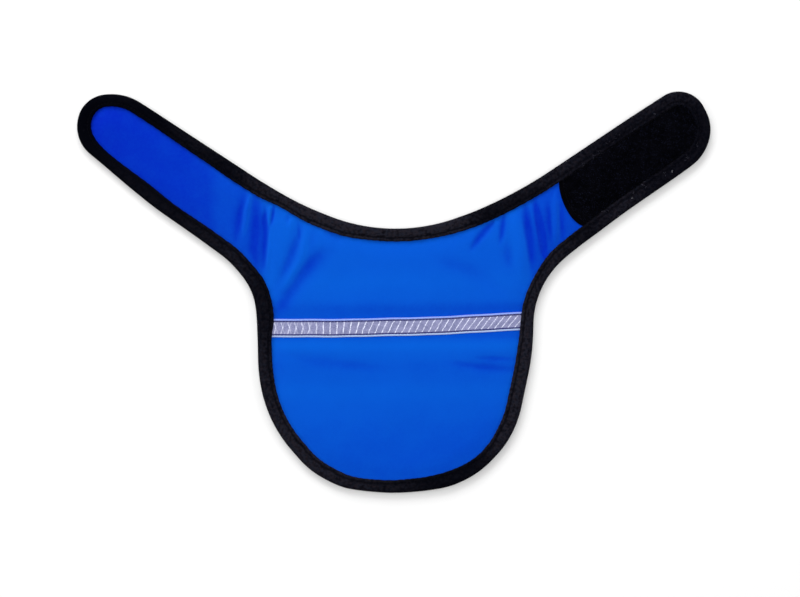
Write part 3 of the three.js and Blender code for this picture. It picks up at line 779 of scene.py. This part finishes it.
def tape_material():
    """Grey reflective tape with pale woven edges and a hatch that leans more towards its right end."""
    material, nodes = new_material("reflective_tape", Specular_IOR_Level=0.5)
    place = nodes.own("cloth_place", "Vector")
    parts = nodes.add("ShaderNodeSeparateXYZ", {"Vector": place}).outputs
    along, across = parts["X"], parts["Y"]
    leans = [nodes.times(nodes.ramp(along, low, high), added) for low, high, added in HATCH_LEANS]
    upright = nodes.math("SUBTRACT", along, nodes.times(across, nodes.math("ADD", *leans)))
    wobble = nodes.times(nodes.math("SUBTRACT", nodes.noise(place, 260.0, 1.0), 0.5), HATCH_WOBBLE)
    slid = nodes.math("ADD", nodes.math("SUBTRACT", upright, HATCH_SHIFT), wobble)
    # The hatch is worn to a zigzag near the left end, with a fainter set of lines that cross it
    worn = nodes.ramp(along, 0.046, 0.030)
    off = nodes.math("ABSOLUTE", across)
    zigzag = nodes.times(off, 0.3)
    crossing, crossed = (hatch_lines(nodes, nodes.math(way, slid, zigzag)) for way in ("ADD", "SUBTRACT"))
    zigzag_lines = nodes.times(nodes.scaled(crossed, 0.4, crossing), 0.65)
    lines = nodes.blend(worn, hatch_lines(nodes, slid), zigzag_lines)
    hatch = nodes.times(lines, nodes.ramp(nodes.noise(place, 700.0, 1.0), 0.34, 0.58, 0.30, 1.0))
    grain = nodes.effect(
        MOTTLE, Place=place, Dark=DARK_GREY, Light=PALE_GREY,
        Slow_Scale=190.0, Fine_Scale=1000.0, Fine_Share=0.5,
    )
    colour = nodes.mix(hatch, grain["Color"], HATCH_WHITE)
    edge_start = TAPE_WIDTH / 2 - EDGE_BAND
    stitch_start = edge_start - STITCH_BAND
    inner = nodes.ramp(off, stitch_start - STITCH_SOFTNESS, stitch_start)
    outer = nodes.ramp(off, edge_start + EDGE_SOFTNESS, edge_start - EDGE_SOFTNESS)
    colour = nodes.mix(nodes.times(inner, outer), colour, STITCHED_NAVY)
    edge = nodes.ramp(off, edge_start - EDGE_SOFTNESS / 2, edge_start + EDGE_SOFTNESS)
    colour = nodes.mix(edge, colour, nodes.mix(nodes.ramp(across, 0.001, -0.001), UPPER_EDGE, LOWER_EDGE))
    yarns = nodes.effect(WEAVE, Place=place, Yarns_per_Metre=2200.0)["Height"]
    height = nodes.scaled(hatch, 0.6, nodes.times(yarns, edge))
    surface(nodes, colour, height, 0.0001, nodes.scaled(hatch, -0.2, 0.55))
    return material


def pile_material():
    """Matt black thread of the pile."""
    material, nodes = new_material("black_pile", Roughness=0.9, Specular_IOR_Level=0.004)
    place = nodes.object_place()
    ground = nodes.effect(
        MOTTLE, Place=place, Dark=(0.0000, 0.0000, 0.0003, 1), Light=(0.0110, 0.0125, 0.0260, 1),
        Slow_Scale=120.0, Fine_Scale=330.0, Fine_Share=0.95,
    )
    surface(nodes, ground["Color"], nodes.noise(place, 2200.0), 0.0002)
    return material


def ground_material(name, dark, light):
    """The woven ground that pile or hooks stand on."""
    material, nodes = new_material(name, Roughness=0.85, Specular_IOR_Level=0.008)
    place = nodes.object_place()
    ground = nodes.effect(MOTTLE, Place=place, Dark=dark, Light=light, Slow_Scale=90.0)
    yarns = nodes.effect(WEAVE, Place=place, Yarns_per_Metre=1400.0)
    surface(nodes, ground["Color"], yarns["Height"], 0.00015)
    return material


def thread_material(name, dark, light, roughness=0.6):
    """Twisted sewing thread."""
    material, nodes = new_material(name, Roughness=roughness, Specular_IOR_Level=0.05)
    place = nodes.object_place()
    ground = nodes.effect(MOTTLE, Place=place, Dark=dark, Light=light, Slow_Scale=180.0, Fine_Scale=2500.0)
    twist = nodes.add("ShaderNodeTexWave", {"Vector": place, "Scale": 900.0, "Distortion": 1.0})
    surface(nodes, ground["Color"], twist.outputs["Fac"], 0.00004)
    return material


blue_nylon = nylon_material()
black_binding = binding_material()
tape_cloth = tape_material()
black_pile = pile_material()
pile_ground = ground_material("pile_ground", (0.0003, 0.0003, 0.0008, 1), (0.0018, 0.0018, 0.0034, 1))
hook_ground = ground_material("hook_ground", (0.002, 0.002, 0.003, 1), (0.007, 0.007, 0.009, 1))
black_thread = thread_material("black_thread", (0.0008, 0.0008, 0.0018, 1), (0.0036, 0.0034, 0.0062, 1), 0.8)
navy_thread = thread_material("navy_thread", (0.010, 0.012, 0.075, 1), (0.036, 0.044, 0.190, 1))
pale_lint = thread_material("pale_lint", (0.12, 0.12, 0.14, 1), (0.40, 0.40, 0.44, 1), 0.9)
dull_lint = thread_material("dull_lint", (0.018, 0.018, 0.028, 1), (0.060, 0.058, 0.082, 1), 0.9)


# Covers

# How far painted shade deepens the tone down in the folds and painted highlights lighten it on their ridges,
# and where the bib's painted light and shade fade out to the sides
MOST_FOLD_SHADE = -0.9
MOST_FOLD_HIGHLIGHT = 0.15
BIB_LIGHT_END = 0.135
BIB_LIGHT_RUN = 0.03
# The bib's painted light and shade show less where the strap's own tone is deep
BIB_LIGHT_SHOWS = 1.2
BIB_LIGHT_HIDES = 1.6


def set_tone_and_painted_light(piece, with_folds):
    """Marks how deep or light the blue is at each point: the straps' own tone, with the bib's painted light
    and shade and, with folds, their painted shade and highlights.
    """
    points = np.array([v.co[:2] for v in piece.data.vertices])
    x, y = (points - neck_low).T
    on_straps = from_table(STRAP_TONE, x)
    # The bib's painted light and shade, fading out to the sides and where the straps' own tone is deep
    down = from_table(BIB_PAINTED_LIGHT, -y) + BIB_LIGHT_TO_RIGHT * x
    fade = smooth((BIB_LIGHT_END - np.abs(x)) / BIB_LIGHT_RUN)
    shown = smooth(BIB_LIGHT_SHOWS + BIB_LIGHT_HIDES * on_straps)
    tone = on_straps + down * shown * fade
    # With folds, painted shade down in their valleys and painted highlights on their ridges
    if with_folds:
        fold_shaded = tone + np.clip(fold_rise(points) / FOLD_SHADE_RISE, MOST_FOLD_SHADE, MOST_FOLD_HIGHLIGHT)
        tone = np.maximum(fold_shaded, np.minimum(tone, DEEPEST_FOLD_SHADE))
    point_values(piece, "cloth_tone", tone)


front_plan = cover_grid(FRONT_STEPS, FRONT_COLUMNS)
front_cover = flat_based_sheet(
    "front_cover_nylon", front_plan, front_top(front_plan), FRONT_EDGE_Z, blue_nylon
)
set_tone_and_painted_light(front_cover, True)

back_plan = cover_grid(BACK_STEPS, BACK_COLUMNS)
back_depth, _ = depth_and_place(back_plan)
back_bottom = BACK_EDGE_Z * lift_off_table(back_plan, back_depth)
back_cover = closed_sheet("back_cover_nylon", back_plan, back_bottom + COVER_WALL, back_bottom, blue_nylon)
set_tone_and_painted_light(back_cover, False)


# Binding

BINDING_STEP = 0.0012
STITCH_INSET = 0.0030
# Rows of the section along the stitched groove, and how much painted shade each takes
GROOVE_ROWS = (14, 15, 16, 17, 18)
GROOVE_SHADES = (0.2, 0.6, 1.0, 0.6, 0.2)
RIPPLE_RISE = 0.00016
RIPPLE_SWAY = 0.00012
RIPPLE_PITCH = 0.0064
RIPPLE_DRIFT = 0.047
SWELL_PITCH = 0.031
# The way from the section's last row back to its first
SECTION_CLOSES = 0.0006
# The binding's section from its inner edge underneath, round the fold and back on top, in mm: inset and
# height. A negative inset is measured back from the inner edge.
BINDING_SECTION = (
    (-0.0, 0.45), (-0.4, 0.08), (-4, 0), (3.4, 0), (1.8, 0.2), (0.9, 0.6), (0.3, 1.3), (0, 2.3),
    (0.2, 3.2), (0.7, 3.9), (1.5, 4.4), (2.7, 4.75), (4, 4.9), (5.4, 4.9), (-4.2, 4.82), (-3.6, 4.68),
    (-3, 4.45), (-2.4, 4.64), (-1.6, 4.74), (-0.8, 4.68), (-0.3, 4.4), (-0.0, 4), (-0.2, 3.66),
    (-3, 3.72), (1.6, 3.8), (1, 2.4), (1.6, 1.1), (-3, 1.05), (-0.6, 0.9),
)


def binding_points(distances, inset, height):
    """Points at an inset and a height, over the place along the edge."""
    shows = MM * by_share(BINDING_SHOWS, distances)
    point, inward = edge_at(distances)
    from_outside = not math.copysign(1, inset) < 0
    reach = np.full(len(distances), inset) if from_outside else shows + inset
    wave = np.sin(wave_angle(distances, RIPPLE_PITCH) + 3 * np.sin(wave_angle(distances, RIPPLE_DRIFT)))
    slow = np.sin(wave_angle(distances, SWELL_PITCH) + 0.4)
    share = smooth(reach / shows)
    ripple = RIPPLE_RISE * (0.6 * wave + 0.8 * slow) * share if height > LIP_Z - GAP else 0.0
    plan = point + inward * (reach + RIPPLE_SWAY * wave * share)[:, None]
    return np.column_stack([plan, height + ripple + np.zeros(len(distances))])


def sweep_binding():
    count = int(EDGE_LENGTH / BINDING_STEP)
    step = EDGE_LENGTH / count
    distances = np.arange(count) * EDGE_LENGTH / count
    rings = [binding_points(distances, inset, height) for inset, height in MM * np.array(BINDING_SECTION)]
    sides = len(rings)
    runs = np.linalg.norm(np.diff([ring[0] for ring in rings], axis=0), axis=1)
    across = [0.0, *np.cumsum(runs)]
    faces, places = [], []
    for i in range(count):
        here, there = i * step, (i + 1) * step
        n = (i + 1) % count
        for j in range(sides):
            k = (j + 1) % sides
            faces.append((i * sides + j, i * sides + k, n * sides + k, n * sides + j))
            near, far = across[j], across[k] if k else across[j] + SECTION_CLOSES
            places.extend(((here, near, 0), (here, far, 0), (there, far, 0), (there, near, 0)))
    points = np.stack(rings, axis=1).reshape(-1, 3)
    piece = mesh_object("edge_binding_tape", points, faces, black_binding, places)
    # Painted light along the edge
    point_values(piece, "cloth_tone", np.repeat(by_share(BINDING_PAINTED_LIGHT, distances), sides))
    # Painted shade on the groove's rows of every section
    groove_shade = np.zeros(sides)
    groove_shade[list(GROOVE_ROWS)] = GROOVE_SHADES
    point_values(piece, "groove_shade", np.tile(groove_shade, count))
    return piece


edge_binding = sweep_binding()


# Reflective tape

TAPE_STEPS = 220
TAPE_COLUMNS = 12
TAPE_RIM = 0.7
REACH_START = 0.07
REACH_TRIED = 400
# How the tape's line wavers: rise, bends along its length and start
TAPE_WAVER = ((0.00012, 17, 0), (0.00008, 41, 1))


def binding_reach(y, side):
    """How far the tape reaches from the bib's middle line, to just under the binding."""
    out = np.linspace(REACH_START, BIB_WIDTH / 2, REACH_TRIED)
    points = np.column_stack([neck_low[0] + side * out, np.full(len(out), y)])
    depth, place = depth_and_place(points)
    under = depth > MM * by_share(BINDING_SHOWS, place) - TAPE_UNDER_BINDING
    return points[np.nonzero(under)[0][-1], 0]


def tape_grid():
    share = np.linspace(0, 1, TAPE_STEPS + 1)
    part = np.linspace(1, -1, TAPE_COLUMNS + 1)
    waver = sum(rise * np.sin(share * bends + start) for rise, bends, start in TAPE_WAVER)
    y = tape_middle(share)[:, None] + waver[:, None] + part[None, :] * TAPE_WIDTH / 2
    left, right = (
        np.array([binding_reach(tape_middle(end) + p * TAPE_WIDTH / 2, side) for p in part])
        for end, side in ((0, -1), (1, 1))
    )
    x = lerp(left[None, :], right[None, :], share[:, None])
    plan = np.stack([x, y], axis=-1)
    cloth = np.stack([x - left.min(), np.broadcast_to(part * TAPE_WIDTH / 2, x.shape)], axis=-1)
    return plan, cloth


tape_plan, tape_places = tape_grid()
tape_bottom = front_top(tape_plan) + LAID_GAP
tape_sag = 1 - np.linspace(-1, 1, TAPE_COLUMNS + 1) ** 4
tape_top = tape_bottom + TAPE_WALL * lerp(TAPE_RIM, 1.0, tape_sag)[None, :]
reflective_tape = closed_sheet(
    "reflective_tape_band", tape_plan, tape_top, tape_bottom, tape_cloth, tape_places
)


# Patches

PATCH_STEPS = 110
PATCH_COLUMNS = 36
PATCH_STATIONS = 3
PATCH_UNDER_BINDING = 0.0012
ROWS_TRIED = 3000
END_STEPS = 60
END_DEGREE = 4
LOOP_RIM = 0.45
LOOP_RIM_ROWS = 5
LOOP_RIM_COLUMNS = 3


def patch_grid(tip_row, side, rise, ends):
    """Plan points of a patch that fills a strap's end, from its tip to its inner end."""
    toward = -1 if tip_row else 1
    rows = tip_row + toward * np.linspace(0, PATCH_STATIONS, ROWS_TRIED)
    neck, hem = chords(rows, BINDING_WIDTH - PATCH_UNDER_BINDING)
    outward = direction(rise) * (side, 1)
    tip = (edge_points @ outward).max()
    shares, lengths = np.array(ends).T
    fine = np.linspace(0, 1, END_STEPS)
    smoothed = np.polyval(np.polyfit(shares, lengths, END_DEGREE), fine)
    tried = np.arange(ROWS_TRIED)
    past_tip = tried > ROWS_TRIED / PATCH_STATIONS
    plan = np.empty((PATCH_STEPS + 1, PATCH_COLUMNS + 1, 2))
    for column in range(PATCH_COLUMNS + 1):
        across = column / PATCH_COLUMNS
        line = lerp(neck, hem, across)
        gone = tip - line @ outward
        last = np.interp(np.interp(across, fine, smoothed), gone[past_tip], tried[past_tip])
        kept = np.linspace(0, last, PATCH_STEPS + 1)
        for axis in range(2):
            plan[:, column, axis] = np.interp(kept, tried, line[:, axis])
    return plan if tip_row == 0 else plan[::-1]


def swollen(plan):
    """1 inside a patch and 0 at its rim."""
    rows, columns = plan.shape[:2]
    i = np.minimum(np.arange(rows), np.arange(rows)[::-1])[:, None] / LOOP_RIM_ROWS
    j = np.minimum(np.arange(columns), np.arange(columns)[::-1])[None, :] / LOOP_RIM_COLUMNS
    return smooth(np.minimum(i, j))


loop_plan = patch_grid(len(STATIONS) - 1, 1, RIGHT_RISE, LOOP_PATCH_ENDS)
loop_bottom = front_top(loop_plan) + LAID_GAP
loop_top = loop_bottom + LOOP_PATCH_WALL * lerp(LOOP_RIM, 1.0, swollen(loop_plan))
loop_patch = closed_sheet("loop_patch_ground", loop_plan, loop_top, loop_bottom, pile_ground)

hook_plan = patch_grid(0, -1, LEFT_RISE, HOOK_PATCH_ENDS)
hook_top = np.full(hook_plan.shape[:2], BINDING_WALL)
hook_bottom = hook_top - HOOK_PATCH_WALL
hook_patch = closed_sheet("hook_patch_ground", hook_plan, hook_top, hook_bottom, hook_ground)


# Stitches, pile, hooks and lint


def plain_mesh(name, tree, points, edges, **values):
    """Runs a tree on bare points and edges and keeps the result as a plain piece."""
    mesh = bpy.data.meshes.new("source")
    mesh.from_pydata([tuple(p) for p in points], edges, [])
    source = put_in_scene("source", mesh)
    modifier = source.modifiers.new("made_by_nodes", "NODES")
    modifier.node_group = tree
    for item in tree.interface.items_tree:
        given_name = item.name.replace(" ", "_")
        if item.in_out == "INPUT" and given_name in values:
            modifier[item.identifier] = values[given_name]
    evaluated = source.evaluated_get(bpy.context.evaluated_depsgraph_get())
    made = bpy.data.meshes.new_from_object(evaluated)
    source.modifiers.clear()
    bpy.data.objects.remove(source)
    made.name = name
    return put_in_scene(name, made)


def joined(lines, closed):
    """The points of lines and the edges along them."""
    points, edges = [], []
    for line in lines:
        first = len(points)
        points.extend(line)
        edges.extend((i, i + 1) for i in range(first, len(points) - 1))
        if closed:
            edges.append((len(points) - 1, first))
    return points, edges


def place_threads(nodes, points, thread, turn, size, material):
    """A thread on every point, turned and sized, made real and given its material."""
    placed = nodes.geometry("InstanceOnPoints", Points=points, Instance=thread, Rotation=turn, Scale=size)
    solid = nodes.geometry("RealizeInstances", Geometry=placed)
    smoothed = nodes.geometry("SetShadeSmooth", Geometry=solid)
    return nodes.geometry("SetMaterial", Geometry=smoothed, Material=material)


def stitch_tree():
    """One thread stitch every pitch along each line: a ball stretched to the stitch's length, laid along the
    line and slanted a little at random.
    """
    inputs = (
        ("Line", "Geometry"), ("Pitch", "Float"), ("Stitch Length", "Float"), ("Thread Radius", "Float"),
        ("Slant", "Float", 0.06), ("Seed", "Int", 3), ("Thread", "Material"),
    )
    nodes, given, result = group("stitch_row", "GeometryNodeTree", inputs, (("Stitches", "Geometry"),))
    curve = nodes.geometry("MeshToCurve", Mesh=given["Line"])
    row = nodes.add("GeometryNodeCurveToPoints", {"Curve": curve, "Length": given["Pitch"]}, mode="LENGTH")
    tangent = {"Vector": row.outputs["Tangent"]}
    aligned = nodes.add("FunctionNodeAlignRotationToVector", tangent, axis="X", pivot_axis="Z").outputs[0]
    least = nodes.times(given["Slant"], -1.0)
    spread = {2: least, 3: given["Slant"], "Seed": given["Seed"]}
    slant = nodes.add("FunctionNodeRandomValue", spread, data_type="FLOAT").outputs[1]
    turn = nodes.add("ShaderNodeCombineXYZ", {"Z": slant}).outputs[0]
    turned = nodes.add("FunctionNodeEulerToRotation", {"Euler": turn}).outputs[0]
    rotation = nodes.add("FunctionNodeRotateRotation", {"Rotation": aligned, "Rotate By": turned}).outputs[0]
    ball = nodes.geometry("MeshUVSphere", Segments=6, Rings=5, Radius=1.0)
    half = nodes.times(given["Stitch Length"], 0.5)
    radius = given["Thread Radius"]
    size = nodes.add("ShaderNodeCombineXYZ", {"X": half, "Y": radius, "Z": radius}).outputs[0]
    thread = nodes.geometry("Transform", Geometry=ball, Scale=size)
    done = place_threads(nodes, row.outputs["Points"], thread, rotation, (1, 1, 1), given["Thread"])
    nodes.put(result["Stitches"], done)
    return nodes.tree


def bent_thread_tree():
    """A bent thread on every point: a loop of pile, a hook or a fibre of lint, by its values."""
    inputs = (
        ("Points", "Geometry"), ("Width", "Float"), ("Height", "Float"), ("Sweep", "Float", 3.6),
        ("Steps", "Int", 6), ("Thread Radius", "Float"), ("Stand", "Vector", (math.pi / 2, 0, 0)),
        ("Least Turn", "Vector"), ("Most Turn", "Vector", (0, 0, 6.28)), ("Least Size", "Float"),
        ("Most Size", "Float", 1.2), ("Seed", "Int", 5), ("Thread", "Material"),
    )
    nodes, given, result = group("bent_threads", "GeometryNodeTree", inputs, (("Threads", "Geometry"),))
    start = nodes.scaled(given["Sweep"], -0.5, math.pi / 2)
    sweep, steps = given["Sweep"], given["Steps"]
    arc = nodes.geometry("CurveArc", Resolution=steps, Radius=0.5, Start_Angle=start, Sweep_Angle=sweep)
    size = nodes.add("ShaderNodeCombineXYZ", {"X": given["Width"], "Y": given["Height"], "Z": 1.0}).outputs[0]
    sized = nodes.geometry("Transform", Geometry=arc, Scale=size)
    stood = nodes.geometry("Transform", Geometry=sized, Rotation=given["Stand"])
    ring = nodes.geometry("CurvePrimitiveCircle", Resolution=3, Radius=given["Thread Radius"])
    tube = nodes.geometry("CurveToMesh", Curve=stood, Profile_Curve=ring, Fill_Caps=True)
    turns = {0: given["Least Turn"], 1: given["Most Turn"], "Seed": given["Seed"]}
    spin = nodes.add("FunctionNodeRandomValue", turns, data_type="FLOAT_VECTOR").outputs[0]
    rotation = nodes.add("FunctionNodeEulerToRotation", {"Euler": spin}).outputs[0]
    next_seed = nodes.math("ADD", given["Seed"], 1.0)
    sizes = {2: given["Least Size"], 3: given["Most Size"], "Seed": next_seed}
    grown = nodes.add("FunctionNodeRandomValue", sizes, data_type="FLOAT").outputs[1]
    done = place_threads(nodes, given["Points"], tube, rotation, grown, given["Thread"])
    nodes.put(result["Threads"], done)
    return nodes.tree


STITCHES = stitch_tree()
THREADS = bent_thread_tree()
STITCH_HEIGHT = 0.00462
STITCH_LINE_STEP = 0.002

binding_places = np.arange(0, EDGE_LENGTH, STITCH_LINE_STEP)
binding_line = binding_points(binding_places, -STITCH_INSET, STITCH_HEIGHT)
binding_stitches = plain_mesh(
    "binding_stitches", STITCHES, *joined([binding_line], True),
    Pitch=0.0029, Stitch_Length=0.0024, Thread_Radius=0.00026, Thread=black_thread,
)

# Rows at the tape's ends that bear no stitches
BARE_ROWS = 3
sewn_plan, sewn_top = tape_plan[BARE_ROWS:-BARE_ROWS], tape_top[BARE_ROWS:-BARE_ROWS]
tape_lines = []
tape_stitch_column = (EDGE_BAND + STITCH_BAND / 2) / TAPE_WIDTH * TAPE_COLUMNS
for column in (tape_stitch_column, TAPE_COLUMNS - tape_stitch_column):
    near, part = int(column), column % 1
    line_plan = lerp(sewn_plan[:, near], sewn_plan[:, near + 1], part)
    line_top = lerp(sewn_top[:, near], sewn_top[:, near + 1], part)
    tape_lines.append(np.column_stack([line_plan, line_top + LAID_GAP]))
tape_stitches = plain_mesh(
    "tape_stitches", STITCHES, *joined(tape_lines, False),
    Pitch=0.0027, Stitch_Length=0.0022, Thread_Radius=0.00042, Thread=navy_thread,
)


def rim_line(plan, height, inset):
    """The line round a patch's grid, some rows and columns in from its rim."""
    last_i, last_j = plan.shape[0] - 1 - inset, plan.shape[1] - 1 - inset
    rows = [(inset, n) for n in range(inset, last_j)]
    rows += [(n, last_j) for n in range(inset, last_i)]
    rows += [(last_i, n) for n in range(last_j, inset, -1)]
    rows += [(n, inset) for n in range(last_i, inset, -1)]
    return [(*plan[n], height[n]) for n in rows]


LOOP_STITCH_LIFT = 0.0004
loop_stitches = plain_mesh(
    "loop_patch_stitches", STITCHES, *joined([rim_line(loop_plan, loop_top + LOOP_STITCH_LIFT, 2)], True),
    Pitch=0.0031, Stitch_Length=0.0026, Thread_Radius=0.00028, Thread=black_thread,
)


def scattered(plan, height, spacing, seed):
    """Points strewn over a patch's grid, about one to each square of spacing."""
    random = np.random.default_rng(seed)
    diagonals = plan[1:, 1:] - plan[:-1, :-1], plan[1:, :-1] - plan[:-1, 1:]
    wanted = 0.5 * np.abs(np.cross(*diagonals)) / spacing**2
    points = []
    for (row, column), share in np.ndenumerate(wanted):
        corners = [(row, column), (row + 1, column), (row, column + 1), (row + 1, column + 1)]
        for _ in range(int(share) + (random.random() < share % 1)):
            u, v = random.random(2)
            weights = [(1 - u) * (1 - v), u * (1 - v), (1 - u) * v, u * v]
            points.append(sum(w * np.array([*plan[n], height[n]]) for w, n in zip(weights, corners)))
    return points


PILE_SPACING = 0.00125
HOOK_SPACING = 0.0021
# Pile and hooks keep off the rims of their patches by a few rows and columns
pile_points = scattered(loop_plan[2:-2, 2:-2], loop_top[2:-2, 2:-2], PILE_SPACING, seed=11)
loop_pile = plain_mesh(
    "loop_patch_pile", THREADS, pile_points, [],
    Width=0.0009, Height=0.0011, Thread_Radius=0.00011, Least_Turn=(-0.5, -0.5, 0.0),
    Most_Turn=(0.5, 0.5, 6.28), Least_Size=0.7, Most_Size=1.25, Thread=black_pile,
)
hook_points = scattered(hook_plan[4:-4, 3:-3], hook_bottom[4:-4, 3:-3], HOOK_SPACING, seed=17)
hook_pile = plain_mesh(
    "hook_patch_hooks", THREADS, hook_points, [],
    Width=0.0006, Height=0.0005, Sweep=4.2, Thread_Radius=0.00008, Stand=(-math.pi / 2, 0, 0),
    Least_Turn=(0, 0, -0.2), Most_Turn=(0, 0, 0.2), Least_Size=0.95, Most_Size=1.05, Thread=black_thread,
)

# Lint round the loop patch: its place from the lowest point of the neck edge, in mm, and its fibres
PALE_LINT = ((231.2, 47.8, 3), (197.5, 25, 2))
DULL_LINT = (
    (216.7, 95.5, 4), (200, 83.7, 4), (183.9, 77.8, 5), (179, 71.8, 4), (170.6, 63.4, 6),
    (165.5, 60, 4), (156, 53, 5), (251.9, 68.6, 3), (244, 59, 4), (224, 45.5, 3), (208.3, 36.1, 6),
    (198.5, 30, 3), (175.9, 13.5, 5),
)
LINT_HEIGHT = 0.0052


def lint_piece(name, rows, spread, thread, seed):
    """Short fibres strewn round each place of a table."""
    random = np.random.default_rng(seed)
    points = []
    for x, y, fibres in rows:
        for _ in range(fibres):
            points.append((*(neck_low + MM * np.array([x, y]) + random.normal(0, spread, 2)), LINT_HEIGHT))
    return plain_mesh(
        name, THREADS, points, [], Width=0.0016, Height=0.0006, Sweep=2.6, Thread_Radius=0.00012,
        Stand=(0, 0, 0), Least_Size=0.5, Thread=thread,
    )


lint = lint_piece("lint_fibres", PALE_LINT, spread=0.0004, thread=pale_lint, seed=23)
dull = lint_piece("dull_lint_fibres", DULL_LINT, spread=0.0011, thread=dull_lint, seed=29)

# Table, light and sky

FLOOR_SIZE = 8.0
SKY_STRENGTH = 0.41
# Soft rectangular lights aimed at the collar: place, width, height and power
LIGHTS = {
    "key_light": ((-0.85, 2.70, 1.34), 2.9, 1.2, 92),
    "overhead_light": ((0.0, 0.02, 2.6), 1.4, 1.4, 17),
    "left_light": ((-3.00, 0.16, 1.34), 2.2, 1.2, 40),
    "right_light": ((2.90, 0.47, 1.33), 2.2, 1.2, 34),
}

half_floor = FLOOR_SIZE / 2
floor_corners = [(x * half_floor, y * half_floor, 0) for x, y in ((-1, -1), (1, -1), (1, 1), (-1, 1))]
white_table, _ = new_material(
    "white_table", Base_Color=(0.86, 0.86, 0.86, 1), Roughness=0.9, Specular_IOR_Level=0.0
)
floor = mesh_object("table", floor_corners, [(0, 1, 2, 3)], white_table)

for name, (place, width, height, power) in LIGHTS.items():
    lamp_data = bpy.data.lights.new(name, "AREA")
    lamp_data.shape = "RECTANGLE"
    lamp_data.size = width
    lamp_data.size_y = height
    lamp_data.energy = power
    lamp = put_in_scene(name, lamp_data)
    lamp.location = place
    lamp.rotation_euler = (-Vector(place)).to_track_quat("-Z", "Y").to_euler()

sky = bpy.data.worlds.new("studio")
sky.use_nodes = True
background = sky.node_tree.nodes["Background"].inputs
background["Color"].default_value = (1, 1, 1, 1)
background["Strength"].default_value = SKY_STRENGTH
bpy.context.scene.world = sky
bpy.context.scene.view_settings.view_transform = "Standard"

# What each piece stands for; the slot names listed alongside are not used
for piece, nodes_stood_for, material_slot in (
    (front_cover, ["front_cover"], "front_nylon"),
    (back_cover, ["back_cover"], "back_nylon"),
    (edge_binding, ["edge_binding"], "bias_binding"),
    (reflective_tape, ["reflective_tape"], "reflective_tape"),
    (loop_patch, ["loop_patch"], "loop_pile"),
    (hook_patch, ["hook_patch"], "hook_tape"),
    (binding_stitches, [], "bias_binding"),
    (tape_stitches, [], "reflective_tape"),
    (loop_stitches, [], "loop_pile"),
    (loop_pile, [], "loop_pile"),
    (hook_pile, [], "hook_tape"),
    (lint, [], None),
    (dull, [], None),
):
    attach(piece, "root")
    if nodes_stood_for:
        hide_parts(*nodes_stood_for)
